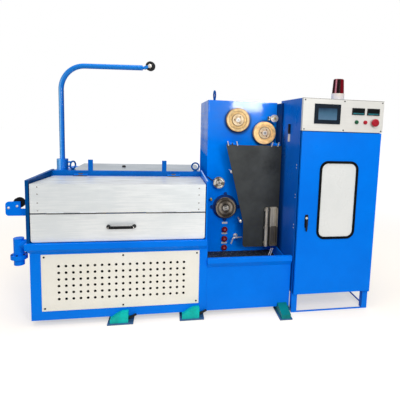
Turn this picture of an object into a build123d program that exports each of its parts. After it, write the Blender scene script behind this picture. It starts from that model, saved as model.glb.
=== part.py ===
from build123d import *
import math
import os

# Wire drawing machine: a lidded drawing tank with its gearbox on a vented base, a tall take-up housing
# with pulleys and a hanging guard, and a control cabinet on legs. Front faces -Y, +X to the right.
# Sizes are in millimetres, measured from the left end of the base, its front plane and the floor.

os.makedirs("parts", exist_ok=True)

# Sheet, clearances and fits
sheet = 3.0
wall = 6.0
pin_gap = 0.3
knuckle_gap = 0.6
swing_gap = 6.0
face_gap = 0.3
small_clear = 1.0
end_play = 2.0

# Base under the tank and the take-up
base_bottom = 40.0
base_floor_thick = 12.0
base_length = 1150.0
base_depth = 1140.0
takeup_width = 620.0
takeup_depth = 1300.0
rail_bottom = 500.0
tank_floor_top = 568.0
tank_floor_thick = 12.0
rail_proud = 24.0
rail_face_bottom = 530.0

# Vent panel on the front of the base
vent_left = 67.0
vent_bottom = 103.0
vent_right_margin = 56.0
vent_height = 388.0
vent_thick = 2.0
vent_pitch = 45.2
vent_border = 100.0
vent_sill = 75.0
vent_hole = 15.0
vent_land = 30.0

# Tank walls, rear bar and lid
tank_left = -24.0
tank_wall_inset = 8.0
tank_setback = 7.0
tank_flange = 20.0
tank_flange_thick = 5.0
tank_right_thick = 10.0
tank_wall_top = 980.0
tank_back = 524.0
rear_bar_depth = 36.0
rear_bar_bottom = 935.0
rear_bar_top = 972.0
lid_front_top = 957.0
lid_rear_top = 935.0
lid_split = 763.0
lid_cheek = 40.0
flap_corner = 15.0
lid_pin_radius = 4.0
lid_knuckle_radius = 8.0
lid_hinge_length = 98.0
lid_hinge_insets = (228.0, 231.0)
flap_pin_radius = 2.0
flap_knuckle_radius = 3.5
flap_hinge_length = 300.0
flap_hinge_insets = (284.0, 263.0)
lid_stop_width = 36.0
lid_stop_thick = 6.0
lid_stop_top = 1060.0
lid_stop_insets = (298.0, 306.0)
handle_shift = 10.0
handle_length = 186.0
handle_height = 672.0
handle_reach = 40.0
handle_bar = 14.0

# Drawing cones on the back wall of the tank
cone_insets = (354.0, 343.0)
cone_rise = 177.0
cone_steps = 6
cone_step_length = 32.0
cone_small_radius = 60.0
cone_step_rise = 11.0
cone_shaft_radius = 30.0
cone_stand_off = 60.0

# Gearbox behind the tank
gearbox_rear = 1120.0
gearbox_left = 0.0
plate_left = 108.0
plate_rear_margin = 40.0
plate_thick = 30.0
eye_ring_radius = 29.5
eye_bar_radius = 6.5
eye_shank_radius = 10.0
eye_collar_radius = 19.0
eye_collar_thick = 7.0
eye_setback = 32.0
eye_left_inset = 22.0
eye_right_inset = 52.0
housing_eye_insets = (67.0, 167.0)
housing_eye_ring_radius = 36.0
eye_turns = (65.0, 0.0, 72.0)

# Jib for the incoming wire
jib_x = 46.0
jib_setback = 98.0
jib_pipe_radius = 19.5
jib_top = 1776.0
jib_bend = 185.0
jib_reach = 636.0
jib_turn = -13.0
jib_pad = 15.0
jib_flange_radius = 58.0
jib_flange_thick = 18.0
jib_collar_radius = 42.0
jib_collar_height = 86.0
jib_bolt_radius = 7.0
jib_bolt_length = 22.0
jib_bolt_shares = (0.3, 0.7)
jib_neck_radius = 11.0
jib_neck_length = 16.0
jib_fork_height = 22.0
jib_fork_plate = 5.0
jib_pulley_radius = 36.0
jib_pulley_width = 16.0
jib_pulley_place = 46.0
jib_pulley_rise = 14.0
jib_pin_radius = 5.0
jib_wheel_gap = 1.5
jib_web_gap = 4.0
jib_groove = 7.0

# Wire entry bracket and pulley on the left wall
entry_y = 96.0
entry_left = -169.0
entry_bottom = 728.0
entry_top = 822.0
entry_plate = 12.0
entry_foot_width = 80.0
entry_pulley_x = -92.0
entry_pulley_z = 812.0
entry_pulley_radius = 35.0
entry_pulley_width = 18.0
entry_pin_radius = 6.0
entry_groove = 8.0
entry_step = 12.0
entry_arm_drop = 48.0
entry_round = 20.0

# Drain fitting on the left end
drain_x = -97.0
drain_y = 100.0
drain_top = 577.0
drain_bottom = 395.0
drain_radius = 32.0
drain_bore_radius = 25.0
drain_flange_radius = 51.0
drain_flange_bottom = 437.0
drain_flange_thick = 28.0
drain_nozzle_z = 534.0

# Levelling mounts
mount_plate_thick = 8.0
mount_length = 170.0
mount_width = 120.0
mount_front = 50.0
mount_margin = 17.0
mount_screw_margin = 34.0
mount_wedge_high = 84.0
mount_ramp = ((1.0, 1.0), (0.66, 0.98), (0.45, 0.84), (0.22, 0.62), (0.05, 0.42), (0.0, 0.34))
mount_wedge_front = 36.0
mount_screw_radius = 9.0
mount_screw_length = 30.0
mount_shares = (0.418, 0.8375)
end_mount_inset = 103.0
end_mount_width = 92.0
end_mount_front = 130.0
end_mount_length = 190.0
end_mount_margin = 12.0
end_wedge_high = 70.0
end_wedge_low = 38.0
mount_row_gap = 2.0
mount_edge = 6.0
mount_ledge_edge = 10.0

# Take-up tray, housing and side cheek
takeup_lip_top = 432.0
takeup_lip_bottom = 399.0
takeup_lip_foot = 361.0
takeup_lip_proud = 26.0
tray_top = 285.0
tray_thick = 6.0
mat_thick = 4.0
mat_margin = 8.0
housing_inset = 33.0
housing_front = 533.0
housing_top = 1562.0
housing_edge = 8.0
cheek_clear = 6.0
cheek_lap = 60.0

# Pulleys on the housing front: share of the housing's width, height and radius of each rim
upper_pulley_place = (0.4114, 1408.0, 95.0)
lower_pulley_place = (0.8021, 1309.0, 92.0)
guide_pulley_place = (0.9398, 1432.0, 29.0)
outlet_pulley_place = (0.167, 890.0, 47.0)
capstan_place = (0.2754, 677.0, 84.0)
pulley_reach = 60.0
pulley_width = 46.0
pulley_groove = 12.0
pulley_lip_share = 0.2
pulley_floor_share = 0.42
pulley_rim = 10.0
pulley_web_sink = 9.0
pulley_ring_sink = 3.0
pulley_ring_share = 0.64
pulley_bevel = 4.0
pulley_hub_radius = 20.0
small_pulley_width = 26.0
small_pulley_groove = 8.0
small_pulley_lip = 5.0
pulley_shaft_radius = 9.0
shaft_boss_radius = 16.0
shaft_cap_radius = 13.0
shaft_cap_thick = 6.0
capstan_gap = 4.0
capstan_flange = 5.0
capstan_neck = 5.0
capstan_bevel = 2.0
capstan_rim = 14.0
capstan_dish = 12.0
capstan_hub_radius = 26.0
ring_radius = 104.0
ring_thick = 10.0
ring_bolt_circle = 112.0
ring_bolts = 4
ring_ear_radius = 14.0
ring_bolt_radius = 7.0
ring_bolt_height = 8.0

# Hanging guard in front of the take-up
guard_reach = 153.0
guard_thick = 6.0
guard_top = 1210.0
guard_bottom = 372.0
guard_overlap = 1.0
guard_top_inset = 134.0
guard_knee_inset = 294.0
guard_knee_height = 571.0
guard_corner = 22.0
guard_pin_radius = 4.0
guard_knuckle_radius = 7.0
guard_hinge_length = 40.0
guard_hinge_insets = (48.0, 33.0)
guard_arm_height = 16.0

# Latch cylinder and bracket on the guard
latch_rod_inset = 109.0
latch_top = 706.0
latch_bottom = 385.0
latch_step = 556.0
latch_rod_radius = 12.0
latch_body_radius = 14.0
latch_reach = 30.0
latch_clamp = 14.0
latch_plate_inset = 15.0
latch_plate_width = 62.0
latch_plate_depth = 34.0
latch_plate_thick = 5.0
latch_round = 10.0

# Push buttons and spray tap on the housing front
button_inset = 162.0
button_heights = (482.0, 401.0, 324.0)
button_radius = 25.0
button_stem_radius = 15.0
button_stem = 16.0
button_head = 14.0
button_collar_radius = 21.0
button_collar = 4.0
button_round = 7.0
tap_inset = 257.0
tap_z = 425.0
tap_radius = 9.0
tap_reach = 62.0
tap_flange_radius = 18.0
tap_flange = 6.0
tap_pipe_radius = 6.3
tap_shoulder = (28.0, 10.0)
tap_spout = (42.0, 57.0)
tap_lever = 46.0
tap_lever_height = 8.0

# Control cabinet
cabinet_gap = 9.0
cabinet_width = 610.0
cabinet_front = -60.0
cabinet_depth = 531.0
cabinet_bottom = 144.0
cabinet_top = 1576.0
cabinet_sheet = 3.0
door_depth = 24.0
door_sheet = 2.0
panel_height = 226.0
door_margin = 5.0
door_seat = 7.0
door_pin_radius = 4.0
door_pin_inset = 12.0
door_pin_length = 14.0
door_tab = 4.0
leg_width = 42.0
sill_height = 10.0
window_left_margin = 148.0
window_right_margin = 167.0
window_sill = 424.0
window_head = 205.0
window_corner = 62.0
gasket_width = 17.0
gasket_proud = 6.0
lock_inset = 68.0
lock_rise = 570.0
lock_width = 40.0
lock_height = 166.0
lock_thick = 10.0
lock_corner = 12.0
lever_width = 22.0
lever_height = 118.0
lever_thick = 16.0

# Instruments on the control panel
screen_inset = 83.0
screen_rise = 56.0
screen_width = 194.0
screen_height = 138.0
screen_proud = 6.0
screen_recess = 2.0
screen_border = 28.0
meter_insets = (246.0, 130.0)
meter_rise = 127.0
meter_width = 96.0
meter_height = 48.0
meter_proud = 6.0
start_inset = 207.0
stop_inset = 140.0
emergency_inset = 72.0
panel_button_rise = 76.0
panel_button_radius = 14.0
panel_button_reach = 14.0
panel_button_ring = 6.0
panel_button_cap_radius = 11.0
emergency_radius = 27.0
emergency_stem_radius = 16.0
emergency_top_radius = 19.0
emergency_edge = 10.0
emergency_reach = 34.0
emergency_head = 16.0
beacon_inset = 303.0
beacon_setback = 120.0
beacon_base_radius = 46.0
beacon_base_height = 48.0
beacon_radius = 43.0
beacon_top_radius = 37.0
beacon_height = 104.0
beacon_crown = 9.0

# Places that follow from the sizes above
takeup_right = base_length + takeup_width
tank_right = base_length - tank_setback
rear_bar_rear = tank_back + rear_bar_depth
housing_left = base_length + housing_inset
housing_right = takeup_right - wall
housing_width = housing_right - housing_left
pulley_face = housing_front - pulley_reach
guard_front = housing_front - guard_reach
guard_right = takeup_right + guard_overlap
jib_y = tank_back + jib_setback
cabinet_left = takeup_right + cabinet_gap
cabinet_right = cabinet_left + cabinet_width
door_top = cabinet_top - panel_height - door_margin


def on_housing(place):
    """Place on the housing front from its share of the width: x, height and radius."""
    share, height, radius = place
    return housing_left + housing_width * share, height, radius


upper_pulley = on_housing(upper_pulley_place)
lower_pulley = on_housing(lower_pulley_place)
guide_pulley = on_housing(guide_pulley_place)
outlet_pulley = on_housing(outlet_pulley_place)
capstan = on_housing(capstan_place)

corner = (Align.MIN, Align.MIN, Align.MIN)
on_end = (Align.CENTER, Align.CENTER, Align.MIN)


def block(x0, x1, y0, y1, z0, z1):
    """Box between two corners."""
    return Pos(x0, y0, z0) * Box(x1 - x0, y1 - y0, z1 - z0, align=corner)


def rod_x(x0, x1, y, z, radius):
    """Round bar along X."""
    return Pos(x0, y, z) * Rot(0, 90, 0) * Cylinder(radius, x1 - x0, align=on_end)


def rod_y(x, y0, y1, z, radius):
    """Round bar along Y."""
    return Pos(x, y0, z) * Rot(-90, 0, 0) * Cylinder(radius, y1 - y0, align=on_end)


def rod_z(x, y, z0, z1, radius):
    """Round bar along Z."""
    return Pos(x, y, z0) * Cylinder(radius, z1 - z0, align=on_end)


def plate_xz(points, y0, y1):
    """Upright plate with an outline in X and Z, from y0 back to y1."""
    face = make_face(Polyline(*points, close=True))
    return extrude(Plane.XZ.offset(-y1) * face, amount=y1 - y0)


def plate_yz(points, x0, x1):
    """Upright plate with an outline in Y and Z, from x0 to x1."""
    face = make_face(Polyline(*points, close=True))
    return extrude(Plane.YZ.offset(x0) * face, amount=x1 - x0)


def window_plate(x0, x1, z0, z1, radius, y0, y1):
    """Upright plate with rounded corners."""
    face = RectangleRounded(x1 - x0, z1 - z0, radius)
    centre = Plane.XZ.offset(-y1) * Pos((x0 + x1) / 2, (z0 + z1) / 2)
    return extrude(centre * face, amount=y1 - y0)


def turned(points, x, y, z):
    """Solid turned about a line along Y; points are radius and distance towards the front of y."""
    profile = Plane.XZ * make_face(Polyline(*points, close=True))
    return Pos(x, y, z) * Rot(90, 0, 0) * revolve(profile, axis=Axis.Z)


def hinge_knuckles(centre, length, y, z, radius, pin_radius):
    """Barrel along X: the fixed end knuckles on their pin, and the bored middle knuckle between them."""
    third = length / 3
    left = centre - length / 2
    fixed = rod_x(left, left + third, y, z, radius)
    fixed += rod_x(left + 2 * third, left + length, y, z, radius)
    fixed += rod_x(left, left + length, y, z, pin_radius)
    moving = rod_x(left + third + knuckle_gap, left + 2 * third - knuckle_gap, y, z, radius)
    moving -= rod_x(left, left + length, y, z, pin_radius + pin_gap)
    return fixed, moving


def eye_bolt(x, y, z, ring_radius, turn):
    """Lifting eye: collar, shank and a ring turned about its upright axis."""
    centre = ring_radius + eye_bar_radius + eye_collar_thick
    eye = Cylinder(eye_collar_radius, eye_collar_thick, align=on_end)
    eye += Cylinder(eye_shank_radius, eye_collar_thick + 2 * eye_bar_radius, align=on_end)
    eye += Pos(0, 0, centre) * Rot(90, 0, 0) * Torus(ring_radius, eye_bar_radius)
    return Pos(x, y, z) * Rot(0, 0, turn) * eye


def grooved_pulley(x, z, radius):
    """Tension pulley with a rope groove, a sunk web, a raised ring and a hub, bored for its shaft."""
    bore = pulley_shaft_radius + pin_gap
    lip = pulley_width * pulley_lip_share
    groove_low = pulley_width * pulley_floor_share
    rim = radius - pulley_groove - pulley_rim
    web_front = pulley_width - pulley_web_sink
    ring_front = pulley_width - pulley_ring_sink
    points = [
        (bore, 0),
        (radius, 0),
        (radius, lip),
        (radius - pulley_groove, groove_low),
        (radius - pulley_groove, pulley_width - groove_low),
        (radius, pulley_width - lip),
        (radius, pulley_width),
        (rim, pulley_width),
        (rim - pulley_bevel, web_front),
        (rim * pulley_ring_share + pulley_bevel, web_front),
        (rim * pulley_ring_share, ring_front),
        (pulley_hub_radius + pulley_bevel, ring_front),
        (pulley_hub_radius, pulley_width),
        (bore, pulley_width),
    ]
    return turned(points, x, pulley_face + pulley_width, z)


def small_pulley(x, z, radius):
    """Plain guide pulley with a V groove, bored for its shaft."""
    bore = pulley_shaft_radius + pin_gap
    points = [
        (bore, 0),
        (radius, 0),
        (radius, small_pulley_lip),
        (radius - small_pulley_groove, small_pulley_width / 2),
        (radius, small_pulley_width - small_pulley_lip),
        (radius, small_pulley_width),
        (bore, small_pulley_width),
    ]
    return turned(points, x, pulley_face + small_pulley_width, z)


def pulley_shaft(place, length, seat):
    """Fixed shaft standing on its seat: a boss behind the pulley, the journal, and a cap in front."""
    x, z, _ = place
    back = pulley_face + length + end_play
    front = pulley_face - end_play / 2
    shaft = rod_y(x, back, seat, z, shaft_boss_radius)
    shaft += rod_y(x, front, back, z, pulley_shaft_radius)
    return shaft + rod_y(x, front - shaft_cap_thick, front, z, shaft_cap_radius)


nodes = {}

# Base: floor plate, front sheets, side sheets and back sheets
floor_top = base_bottom + base_floor_thick
deck_bottom = tank_floor_top - tank_floor_thick
base_floor = block(0, base_length, 0, base_depth, base_bottom, floor_top)
base_floor += block(base_length, takeup_right, 0, takeup_depth, base_bottom, floor_top)
nodes["base_floor"] = base_floor
vent_right = base_length - vent_right_margin
vent_width = vent_right - vent_left
vent_top = vent_bottom + vent_height
base_front = block(0, base_length, 0, wall, floor_top, rail_bottom)
base_front -= block(
    vent_left + vent_land, vent_right - vent_land, 0, wall, vent_bottom + vent_land, vent_top - vent_land
)
nodes["base_front"] = base_front
side_rear = takeup_depth - wall
base_sides = block(0, wall, wall, base_depth - wall, floor_top, deck_bottom)
middle_side = block(base_length - wall, base_length, wall, side_rear, floor_top, takeup_lip_top)
middle_side += block(base_length - wall, base_length, wall, base_depth - wall, takeup_lip_top, deck_bottom)
side_top = guard_bottom - swing_gap
right_side = block(takeup_right - wall, takeup_right, wall, side_rear, floor_top, side_top)
nodes["base_sides"] = Compound(children=[base_sides, middle_side, right_side])
tank_back_sheet = block(0, base_length - wall, base_depth - wall, base_depth, floor_top, deck_bottom)
takeup_back_sheet = block(base_length - wall, takeup_right, side_rear, takeup_depth, floor_top, side_top)
nodes["back_panels"] = Compound(children=[tank_back_sheet, takeup_back_sheet])

# Vent panel with its grid of holes
vent_columns = int((vent_width - 2 * vent_border) / vent_pitch) + 1
vent_rows = int((vent_height - 2 * vent_sill) / vent_pitch) + 1
vent_centre = Pos(vent_left + vent_width / 2, vent_bottom + vent_height / 2)
vent_face = vent_centre * Rectangle(vent_width, vent_height)
hole_grid = GridLocations(vent_pitch, vent_pitch, vent_columns, vent_rows)
vent_face -= vent_centre * hole_grid * Circle(vent_hole / 2)
nodes["vent_panel"] = extrude(Plane.XZ * vent_face, amount=vent_thick)

# Drawing tank: front rail, floor, side walls, back wall and rear bar with stops and fixed hinge leaves
wall_left = tank_left + tank_wall_inset
tank_inside_left = wall_left + wall
tank_inside_right = tank_right - tank_right_thick
rail_profile = [
    (wall, tank_floor_top),
    (-rail_proud, tank_floor_top),
    (-rail_proud, rail_face_bottom),
    (0, rail_bottom),
    (wall, rail_bottom),
]
front_rail = plate_yz(rail_profile, tank_left, tank_right)
rail_mitre = [(tank_left, rail_face_bottom), (0, rail_bottom), (tank_left, rail_bottom)]
front_rail -= plate_xz(rail_mitre, -rail_proud, wall)
nodes["tank_front_rail"] = front_rail
nodes["tank_floor"] = block(tank_left, tank_right, wall, rear_bar_rear, deck_bottom, tank_floor_top)
left_wall = block(wall_left, tank_inside_left, 0, rear_bar_rear, tank_floor_top, tank_wall_top)
flange_right = wall_left + tank_flange
left_wall += block(tank_inside_left, flange_right, 0, tank_flange_thick, tank_floor_top, tank_wall_top)
flange_bottom = tank_wall_top - tank_flange_thick
left_wall += block(
    tank_inside_left, flange_right, tank_flange_thick, rear_bar_rear, flange_bottom, tank_wall_top
)
nodes["tank_left_wall"] = left_wall
nodes["tank_right_wall"] = block(
    tank_inside_right, tank_right, 0, rear_bar_rear, tank_floor_top, tank_wall_top
)
nodes["tank_back_wall"] = block(
    tank_inside_left, tank_inside_right, tank_back, tank_back + wall, tank_floor_top, rear_bar_bottom
)
lid_hinge_y = tank_back - lid_knuckle_radius - small_clear
lid_hinge_z = lid_rear_top + lid_knuckle_radius + sheet
rear_bar = block(tank_inside_left, tank_inside_right, tank_back, rear_bar_rear, rear_bar_bottom, rear_bar_top)
for place in (tank_left + lid_stop_insets[0], tank_right - lid_stop_insets[1]):
    stop_left = place - lid_stop_width / 2
    stop_right = stop_left + lid_stop_width
    rear_bar += block(
        stop_left, stop_right, tank_back, tank_back + lid_stop_thick, rear_bar_top, lid_stop_top
    )

# Tank lid: a bent sheet with end cheeks, hinged to the rear bar
lid_left = flange_right + swing_gap
lid_right = tank_inside_right - swing_gap
lid_rear = lid_hinge_y - lid_knuckle_radius
panel_bottom = lid_split + flap_knuckle_radius
lid_profile = [
    (lid_rear, lid_rear_top),
    (0, lid_front_top),
    (0, panel_bottom),
    (sheet, panel_bottom),
    (sheet, lid_front_top - sheet),
    (lid_rear, lid_rear_top - sheet),
]
cheek_profile = [
    (lid_rear, lid_rear_top),
    (0, lid_front_top),
    (0, panel_bottom),
    (lid_cheek, panel_bottom),
    (lid_cheek, lid_front_top - lid_cheek),
    (lid_rear, lid_rear_top - lid_cheek),
]
tank_lid = plate_yz(lid_profile, lid_left, lid_right)
tank_lid += plate_yz(cheek_profile, lid_left, lid_left + sheet)
tank_lid += plate_yz(cheek_profile, lid_right - sheet, lid_right)
for place in (tank_left + lid_hinge_insets[0], tank_right - lid_hinge_insets[1]):
    fixed, moving = hinge_knuckles(
        place, lid_hinge_length, lid_hinge_y, lid_hinge_z, lid_knuckle_radius, lid_pin_radius
    )
    third = lid_hinge_length / 3
    start = place - lid_hinge_length / 2
    for left in (start, start + 2 * third):
        fixed += block(
            left, left + third, lid_hinge_y, tank_back, lid_hinge_z - sheet, lid_hinge_z + sheet
        )
    rear_bar += fixed
    leaf = block(
        start + third + knuckle_gap,
        start + 2 * third - knuckle_gap,
        lid_rear - lid_knuckle_radius,
        lid_hinge_y,
        lid_rear_top - sheet,
        lid_hinge_z - lid_pin_radius - small_clear,
    )
    leaf -= rod_x(start, start + lid_hinge_length, lid_hinge_y, lid_hinge_z, lid_pin_radius + pin_gap)
    tank_lid += moving + leaf
nodes["tank_rear_bar"] = rear_bar

# Lower front flap, hinged to the lid along the split line, with its bow handle
flap_top = lid_split - flap_knuckle_radius
flap_bottom = tank_floor_top + swing_gap
flap_hinge_y = -flap_knuckle_radius
tank_flap = block(lid_left, lid_right, 0, sheet, flap_bottom, flap_top)
low_corners = tank_flap.edges().filter_by(Axis.Y).group_by(Axis.Z)[0]
tank_flap = fillet(low_corners, flap_corner)
for place in (tank_left + flap_hinge_insets[0], tank_right - flap_hinge_insets[1]):
    fixed, moving = hinge_knuckles(
        place, flap_hinge_length, flap_hinge_y, lid_split, flap_knuckle_radius, flap_pin_radius
    )
    third = flap_hinge_length / 3
    start = place - flap_hinge_length / 2
    for left in (start, start + 2 * third):
        strap = block(left, left + third, flap_hinge_y, 0, lid_split, panel_bottom + flap_knuckle_radius)
        tank_lid += strap
    tank_lid += fixed
    strap = block(
        start + third + knuckle_gap,
        start + 2 * third - knuckle_gap,
        flap_hinge_y,
        0,
        flap_top - flap_knuckle_radius,
        lid_split,
    )
    strap -= rod_x(start, start + flap_hinge_length, flap_hinge_y, lid_split, flap_pin_radius + pin_gap)
    tank_flap += moving + strap
nodes["tank_lid"] = tank_lid
nodes["tank_flap"] = tank_flap
handle_centre = (tank_left + tank_right) / 2 + handle_shift
handle_left = handle_centre - handle_length / 2
handle_right = handle_centre + handle_length / 2
bow_path = FilletPolyline(
    (handle_left + handle_bar / 2, 0, handle_height),
    (handle_left + handle_bar / 2, -handle_reach + handle_bar / 2, handle_height),
    (handle_right - handle_bar / 2, -handle_reach + handle_bar / 2, handle_height),
    (handle_right - handle_bar / 2, 0, handle_height),
    radius=handle_bar,
)
bow_start = Plane(origin=(handle_left + handle_bar / 2, 0, handle_height), z_dir=(0, -1, 0))
nodes["flap_handle"] = sweep(bow_start * Rectangle(handle_bar, handle_bar), path=bow_path)

# Drawing cones: stepped capstans on shafts through the back wall
cones = []
for place in (tank_left + cone_insets[0], tank_right - cone_insets[1]):
    points = [(0, 0), (cone_shaft_radius, 0), (cone_shaft_radius, cone_stand_off)]
    for step in range(cone_steps):
        radius = cone_small_radius + cone_step_rise * (cone_steps - 1 - step)
        points.append((radius, cone_stand_off + cone_step_length * step))
        points.append((radius, cone_stand_off + cone_step_length * (step + 1)))
    points.append((0, cone_stand_off + cone_step_length * cone_steps))
    cones.append(turned(points, place, tank_back, tank_floor_top + cone_rise))
nodes["drawing_cones"] = Compound(children=cones)

# Gearbox housing, its steel top plate and the lifting eyes
gearbox_front = tank_back + wall
gearbox = block(gearbox_left, tank_inside_right, gearbox_front, gearbox_rear, tank_floor_top, rear_bar_bottom)
gearbox += block(gearbox_left, tank_inside_right, rear_bar_rear, gearbox_rear, deck_bottom, tank_floor_top)
nodes["gearbox_housing"] = gearbox
plate_top = rear_bar_bottom + plate_thick
nodes["gearbox_top_plate"] = block(
    plate_left,
    tank_inside_right,
    rear_bar_rear + face_gap,
    gearbox_rear - plate_rear_margin,
    rear_bar_bottom,
    plate_top,
)
eye_row = rear_bar_rear + eye_setback
eye_left = plate_left + eye_left_inset
eye_right = tank_right - eye_right_inset
housing_eye_x = housing_left + housing_eye_insets[0]
housing_eye_y = housing_front + housing_eye_insets[1]
eyes = [
    eye_bolt(eye_left, eye_row, plate_top, eye_ring_radius, eye_turns[0]),
    eye_bolt(eye_right, eye_row, plate_top, eye_ring_radius, eye_turns[1]),
    eye_bolt(housing_eye_x, housing_eye_y, housing_top, housing_eye_ring_radius, eye_turns[2]),
]
nodes["lifting_eyes"] = Compound(children=eyes)

# Jib: pad, flange and clamp collar on the gearbox, and the bent arm that turns in the collar
pad_top = rear_bar_bottom + jib_pad
flange_top = pad_top + jib_flange_thick
collar_top = flange_top + jib_collar_height
jib_post = block(
    jib_x - jib_flange_radius,
    jib_x + jib_flange_radius,
    jib_y - jib_flange_radius,
    jib_y + jib_flange_radius,
    rear_bar_bottom,
    pad_top,
)
jib_post += rod_z(jib_x, jib_y, pad_top, flange_top, jib_flange_radius)
jib_post += rod_z(jib_x, jib_y, flange_top, collar_top, jib_collar_radius)
jib_post -= rod_z(jib_x, jib_y, flange_top, collar_top, jib_pipe_radius + pin_gap)
for share in jib_bolt_shares:
    bolt_z = flange_top + jib_collar_height * share
    bolt_start = jib_x + jib_pipe_radius + pin_gap + small_clear
    bolt_end = jib_x + jib_collar_radius + jib_bolt_length
    jib_post += rod_x(bolt_start, bolt_end, jib_y, bolt_z, jib_bolt_radius)
nodes["jib_post"] = jib_post
arm_end = jib_x + jib_reach
arm_path = FilletPolyline(
    (jib_x, jib_y, flange_top + face_gap),
    (jib_x, jib_y, jib_top),
    (arm_end, jib_y, jib_top),
    radius=jib_bend,
)
arm_start = Plane(origin=(jib_x, jib_y, flange_top + face_gap), z_dir=(0, 0, 1))
jib_arm = sweep(arm_start * Circle(jib_pipe_radius), path=arm_path)
neck_end = arm_end + jib_neck_length
jib_arm += rod_x(arm_end, neck_end, jib_y, jib_top, jib_neck_radius)
pulley_x = neck_end + jib_pulley_place
pulley_z = jib_top + jib_pulley_rise
fork_inside = jib_pulley_width / 2 + jib_wheel_gap
fork_outside = fork_inside + jib_fork_plate
fork_low = jib_top - jib_fork_height / 2
fork_high = pulley_z + jib_fork_height / 2
fork_end = pulley_x + jib_fork_height / 2
fork_web = pulley_x - jib_pulley_radius - jib_web_gap
fork_root = jib_top + jib_fork_height / 2
jib_arm += block(neck_end, fork_web, jib_y - fork_outside, jib_y + fork_outside, fork_low, fork_root)
fork_outline = [
    (neck_end, fork_low),
    (pulley_x, pulley_z - jib_fork_height / 2),
    (fork_end, pulley_z),
    (pulley_x, fork_high),
    (neck_end, fork_root),
]
for side in (jib_y - fork_outside, jib_y + fork_inside):
    jib_arm += plate_xz(fork_outline, side, side + jib_fork_plate)
jib_arm += rod_y(pulley_x, jib_y - fork_outside, jib_y + fork_outside, pulley_z, jib_pin_radius)
swivel = Pos(jib_x, jib_y) * Rot(0, 0, jib_turn) * Pos(-jib_x, -jib_y)
nodes["jib_arm"] = swivel * jib_arm
jib_wheel = [
    (jib_pin_radius + pin_gap, 0),
    (jib_pulley_radius, 0),
    (jib_pulley_radius - jib_groove, jib_pulley_width / 2),
    (jib_pulley_radius, jib_pulley_width),
    (jib_pin_radius + pin_gap, jib_pulley_width),
]
nodes["jib_pulley"] = swivel * turned(jib_wheel, pulley_x, jib_y + jib_pulley_width / 2, pulley_z)

# Wire entry: stepped bracket on the left wall, and its pulley
entry_rear = entry_y + entry_plate
entry_step_x = entry_pulley_x + entry_step
entry_ledge = entry_top - entry_arm_drop
entry_outline = [
    (entry_left, entry_bottom),
    (wall_left, entry_bottom),
    (wall_left, entry_ledge),
    (entry_step_x, entry_ledge),
    (entry_step_x, entry_top),
    (entry_left, entry_top),
]
entry_arm = plate_xz(entry_outline, entry_y, entry_rear)
entry_arm = fillet(entry_arm.edges().filter_by(Axis.Y).group_by(Axis.X)[0], entry_round)
foot_front = entry_y + entry_plate / 2 - entry_foot_width / 2
foot_rear = foot_front + entry_foot_width
entry_arm += block(wall_left - wall, wall_left, foot_front, foot_rear, entry_bottom, entry_top)
entry_back = entry_rear + end_play + entry_pulley_width
entry_arm += rod_y(entry_pulley_x, entry_y, entry_back + end_play, entry_pulley_z, entry_pin_radius)
nodes["entry_bracket"] = entry_arm
entry_wheel = [
    (entry_pin_radius + pin_gap, 0),
    (entry_pulley_radius, 0),
    (entry_pulley_radius - entry_groove, entry_pulley_width / 2),
    (entry_pulley_radius, entry_pulley_width),
    (entry_pin_radius + pin_gap, entry_pulley_width),
]
nodes["entry_pulley"] = turned(entry_wheel, entry_pulley_x, entry_back, entry_pulley_z)

# Drain: elbow out of the end of the tank floor, flange and open stub
drain = rod_z(drain_x, drain_y, drain_bottom, drain_top, drain_radius)
drain += rod_z(
    drain_x, drain_y, drain_flange_bottom, drain_flange_bottom + drain_flange_thick, drain_flange_radius
)
drain += rod_x(drain_x, tank_left, drain_y, drain_nozzle_z, drain_radius)
drain -= rod_z(drain_x, drain_y, drain_bottom, drain_nozzle_z, drain_bore_radius)
nodes["drain_fitting"] = drain

# Levelling mounts: ground plates, and wedge blocks with a ledge under the base and an upstand before it
plates = []
wedges = []


def mount_pair(plate, upstand, left, right, ledge_rear, rear_edge):
    """Front mount with a ledge and a screw added to its upstand, and its mirror image at the rear edge."""
    screw_z = (mount_plate_thick + base_bottom) / 2
    wedge = upstand + block(left, right, -mount_row_gap, ledge_rear, mount_plate_thick, base_bottom)
    wedge += rod_x(right, right + mount_screw_length, ledge_rear / 2, screw_z, mount_screw_radius)
    middle = Plane.XZ.offset(-rear_edge / 2)
    plates.extend([plate, mirror(plate, about=middle)])
    wedges.extend([wedge, mirror(wedge, about=middle)])


for share in mount_shares:
    start = base_length * share
    left = start + mount_margin
    right = start + mount_length - mount_screw_margin
    outline = [(left, mount_plate_thick), (right, mount_plate_thick)]
    for along, rise in mount_ramp:
        height = (mount_wedge_high - mount_plate_thick) * rise
        outline.append((left + (right - left) * along, mount_plate_thick + height))
    plate = block(start, start + mount_length, -mount_front, mount_width - mount_front, 0, mount_plate_thick)
    upstand = plate_xz(outline, -mount_row_gap - mount_wedge_front, -mount_row_gap)
    mount_pair(plate, upstand, left, right, mount_width - mount_front - mount_ledge_edge, base_depth)
end_left = takeup_right - end_mount_inset
left = end_left + end_mount_margin
right = end_left + end_mount_width - end_mount_margin
outline = [
    (-mount_row_gap, mount_plate_thick),
    (-mount_row_gap, end_wedge_high),
    (mount_edge - end_mount_front, end_wedge_low),
    (mount_edge - end_mount_front, mount_plate_thick),
]
end_rear = end_mount_length - end_mount_front
plate = block(end_left, end_left + end_mount_width, -end_mount_front, end_rear, 0, mount_plate_thick)
mount_pair(plate, plate_yz(outline, left, right), left, right, end_rear - mount_ledge_edge, takeup_depth)
nodes["mount_plates"] = Compound(children=plates)
nodes["mount_wedges"] = Compound(children=wedges)

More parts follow.
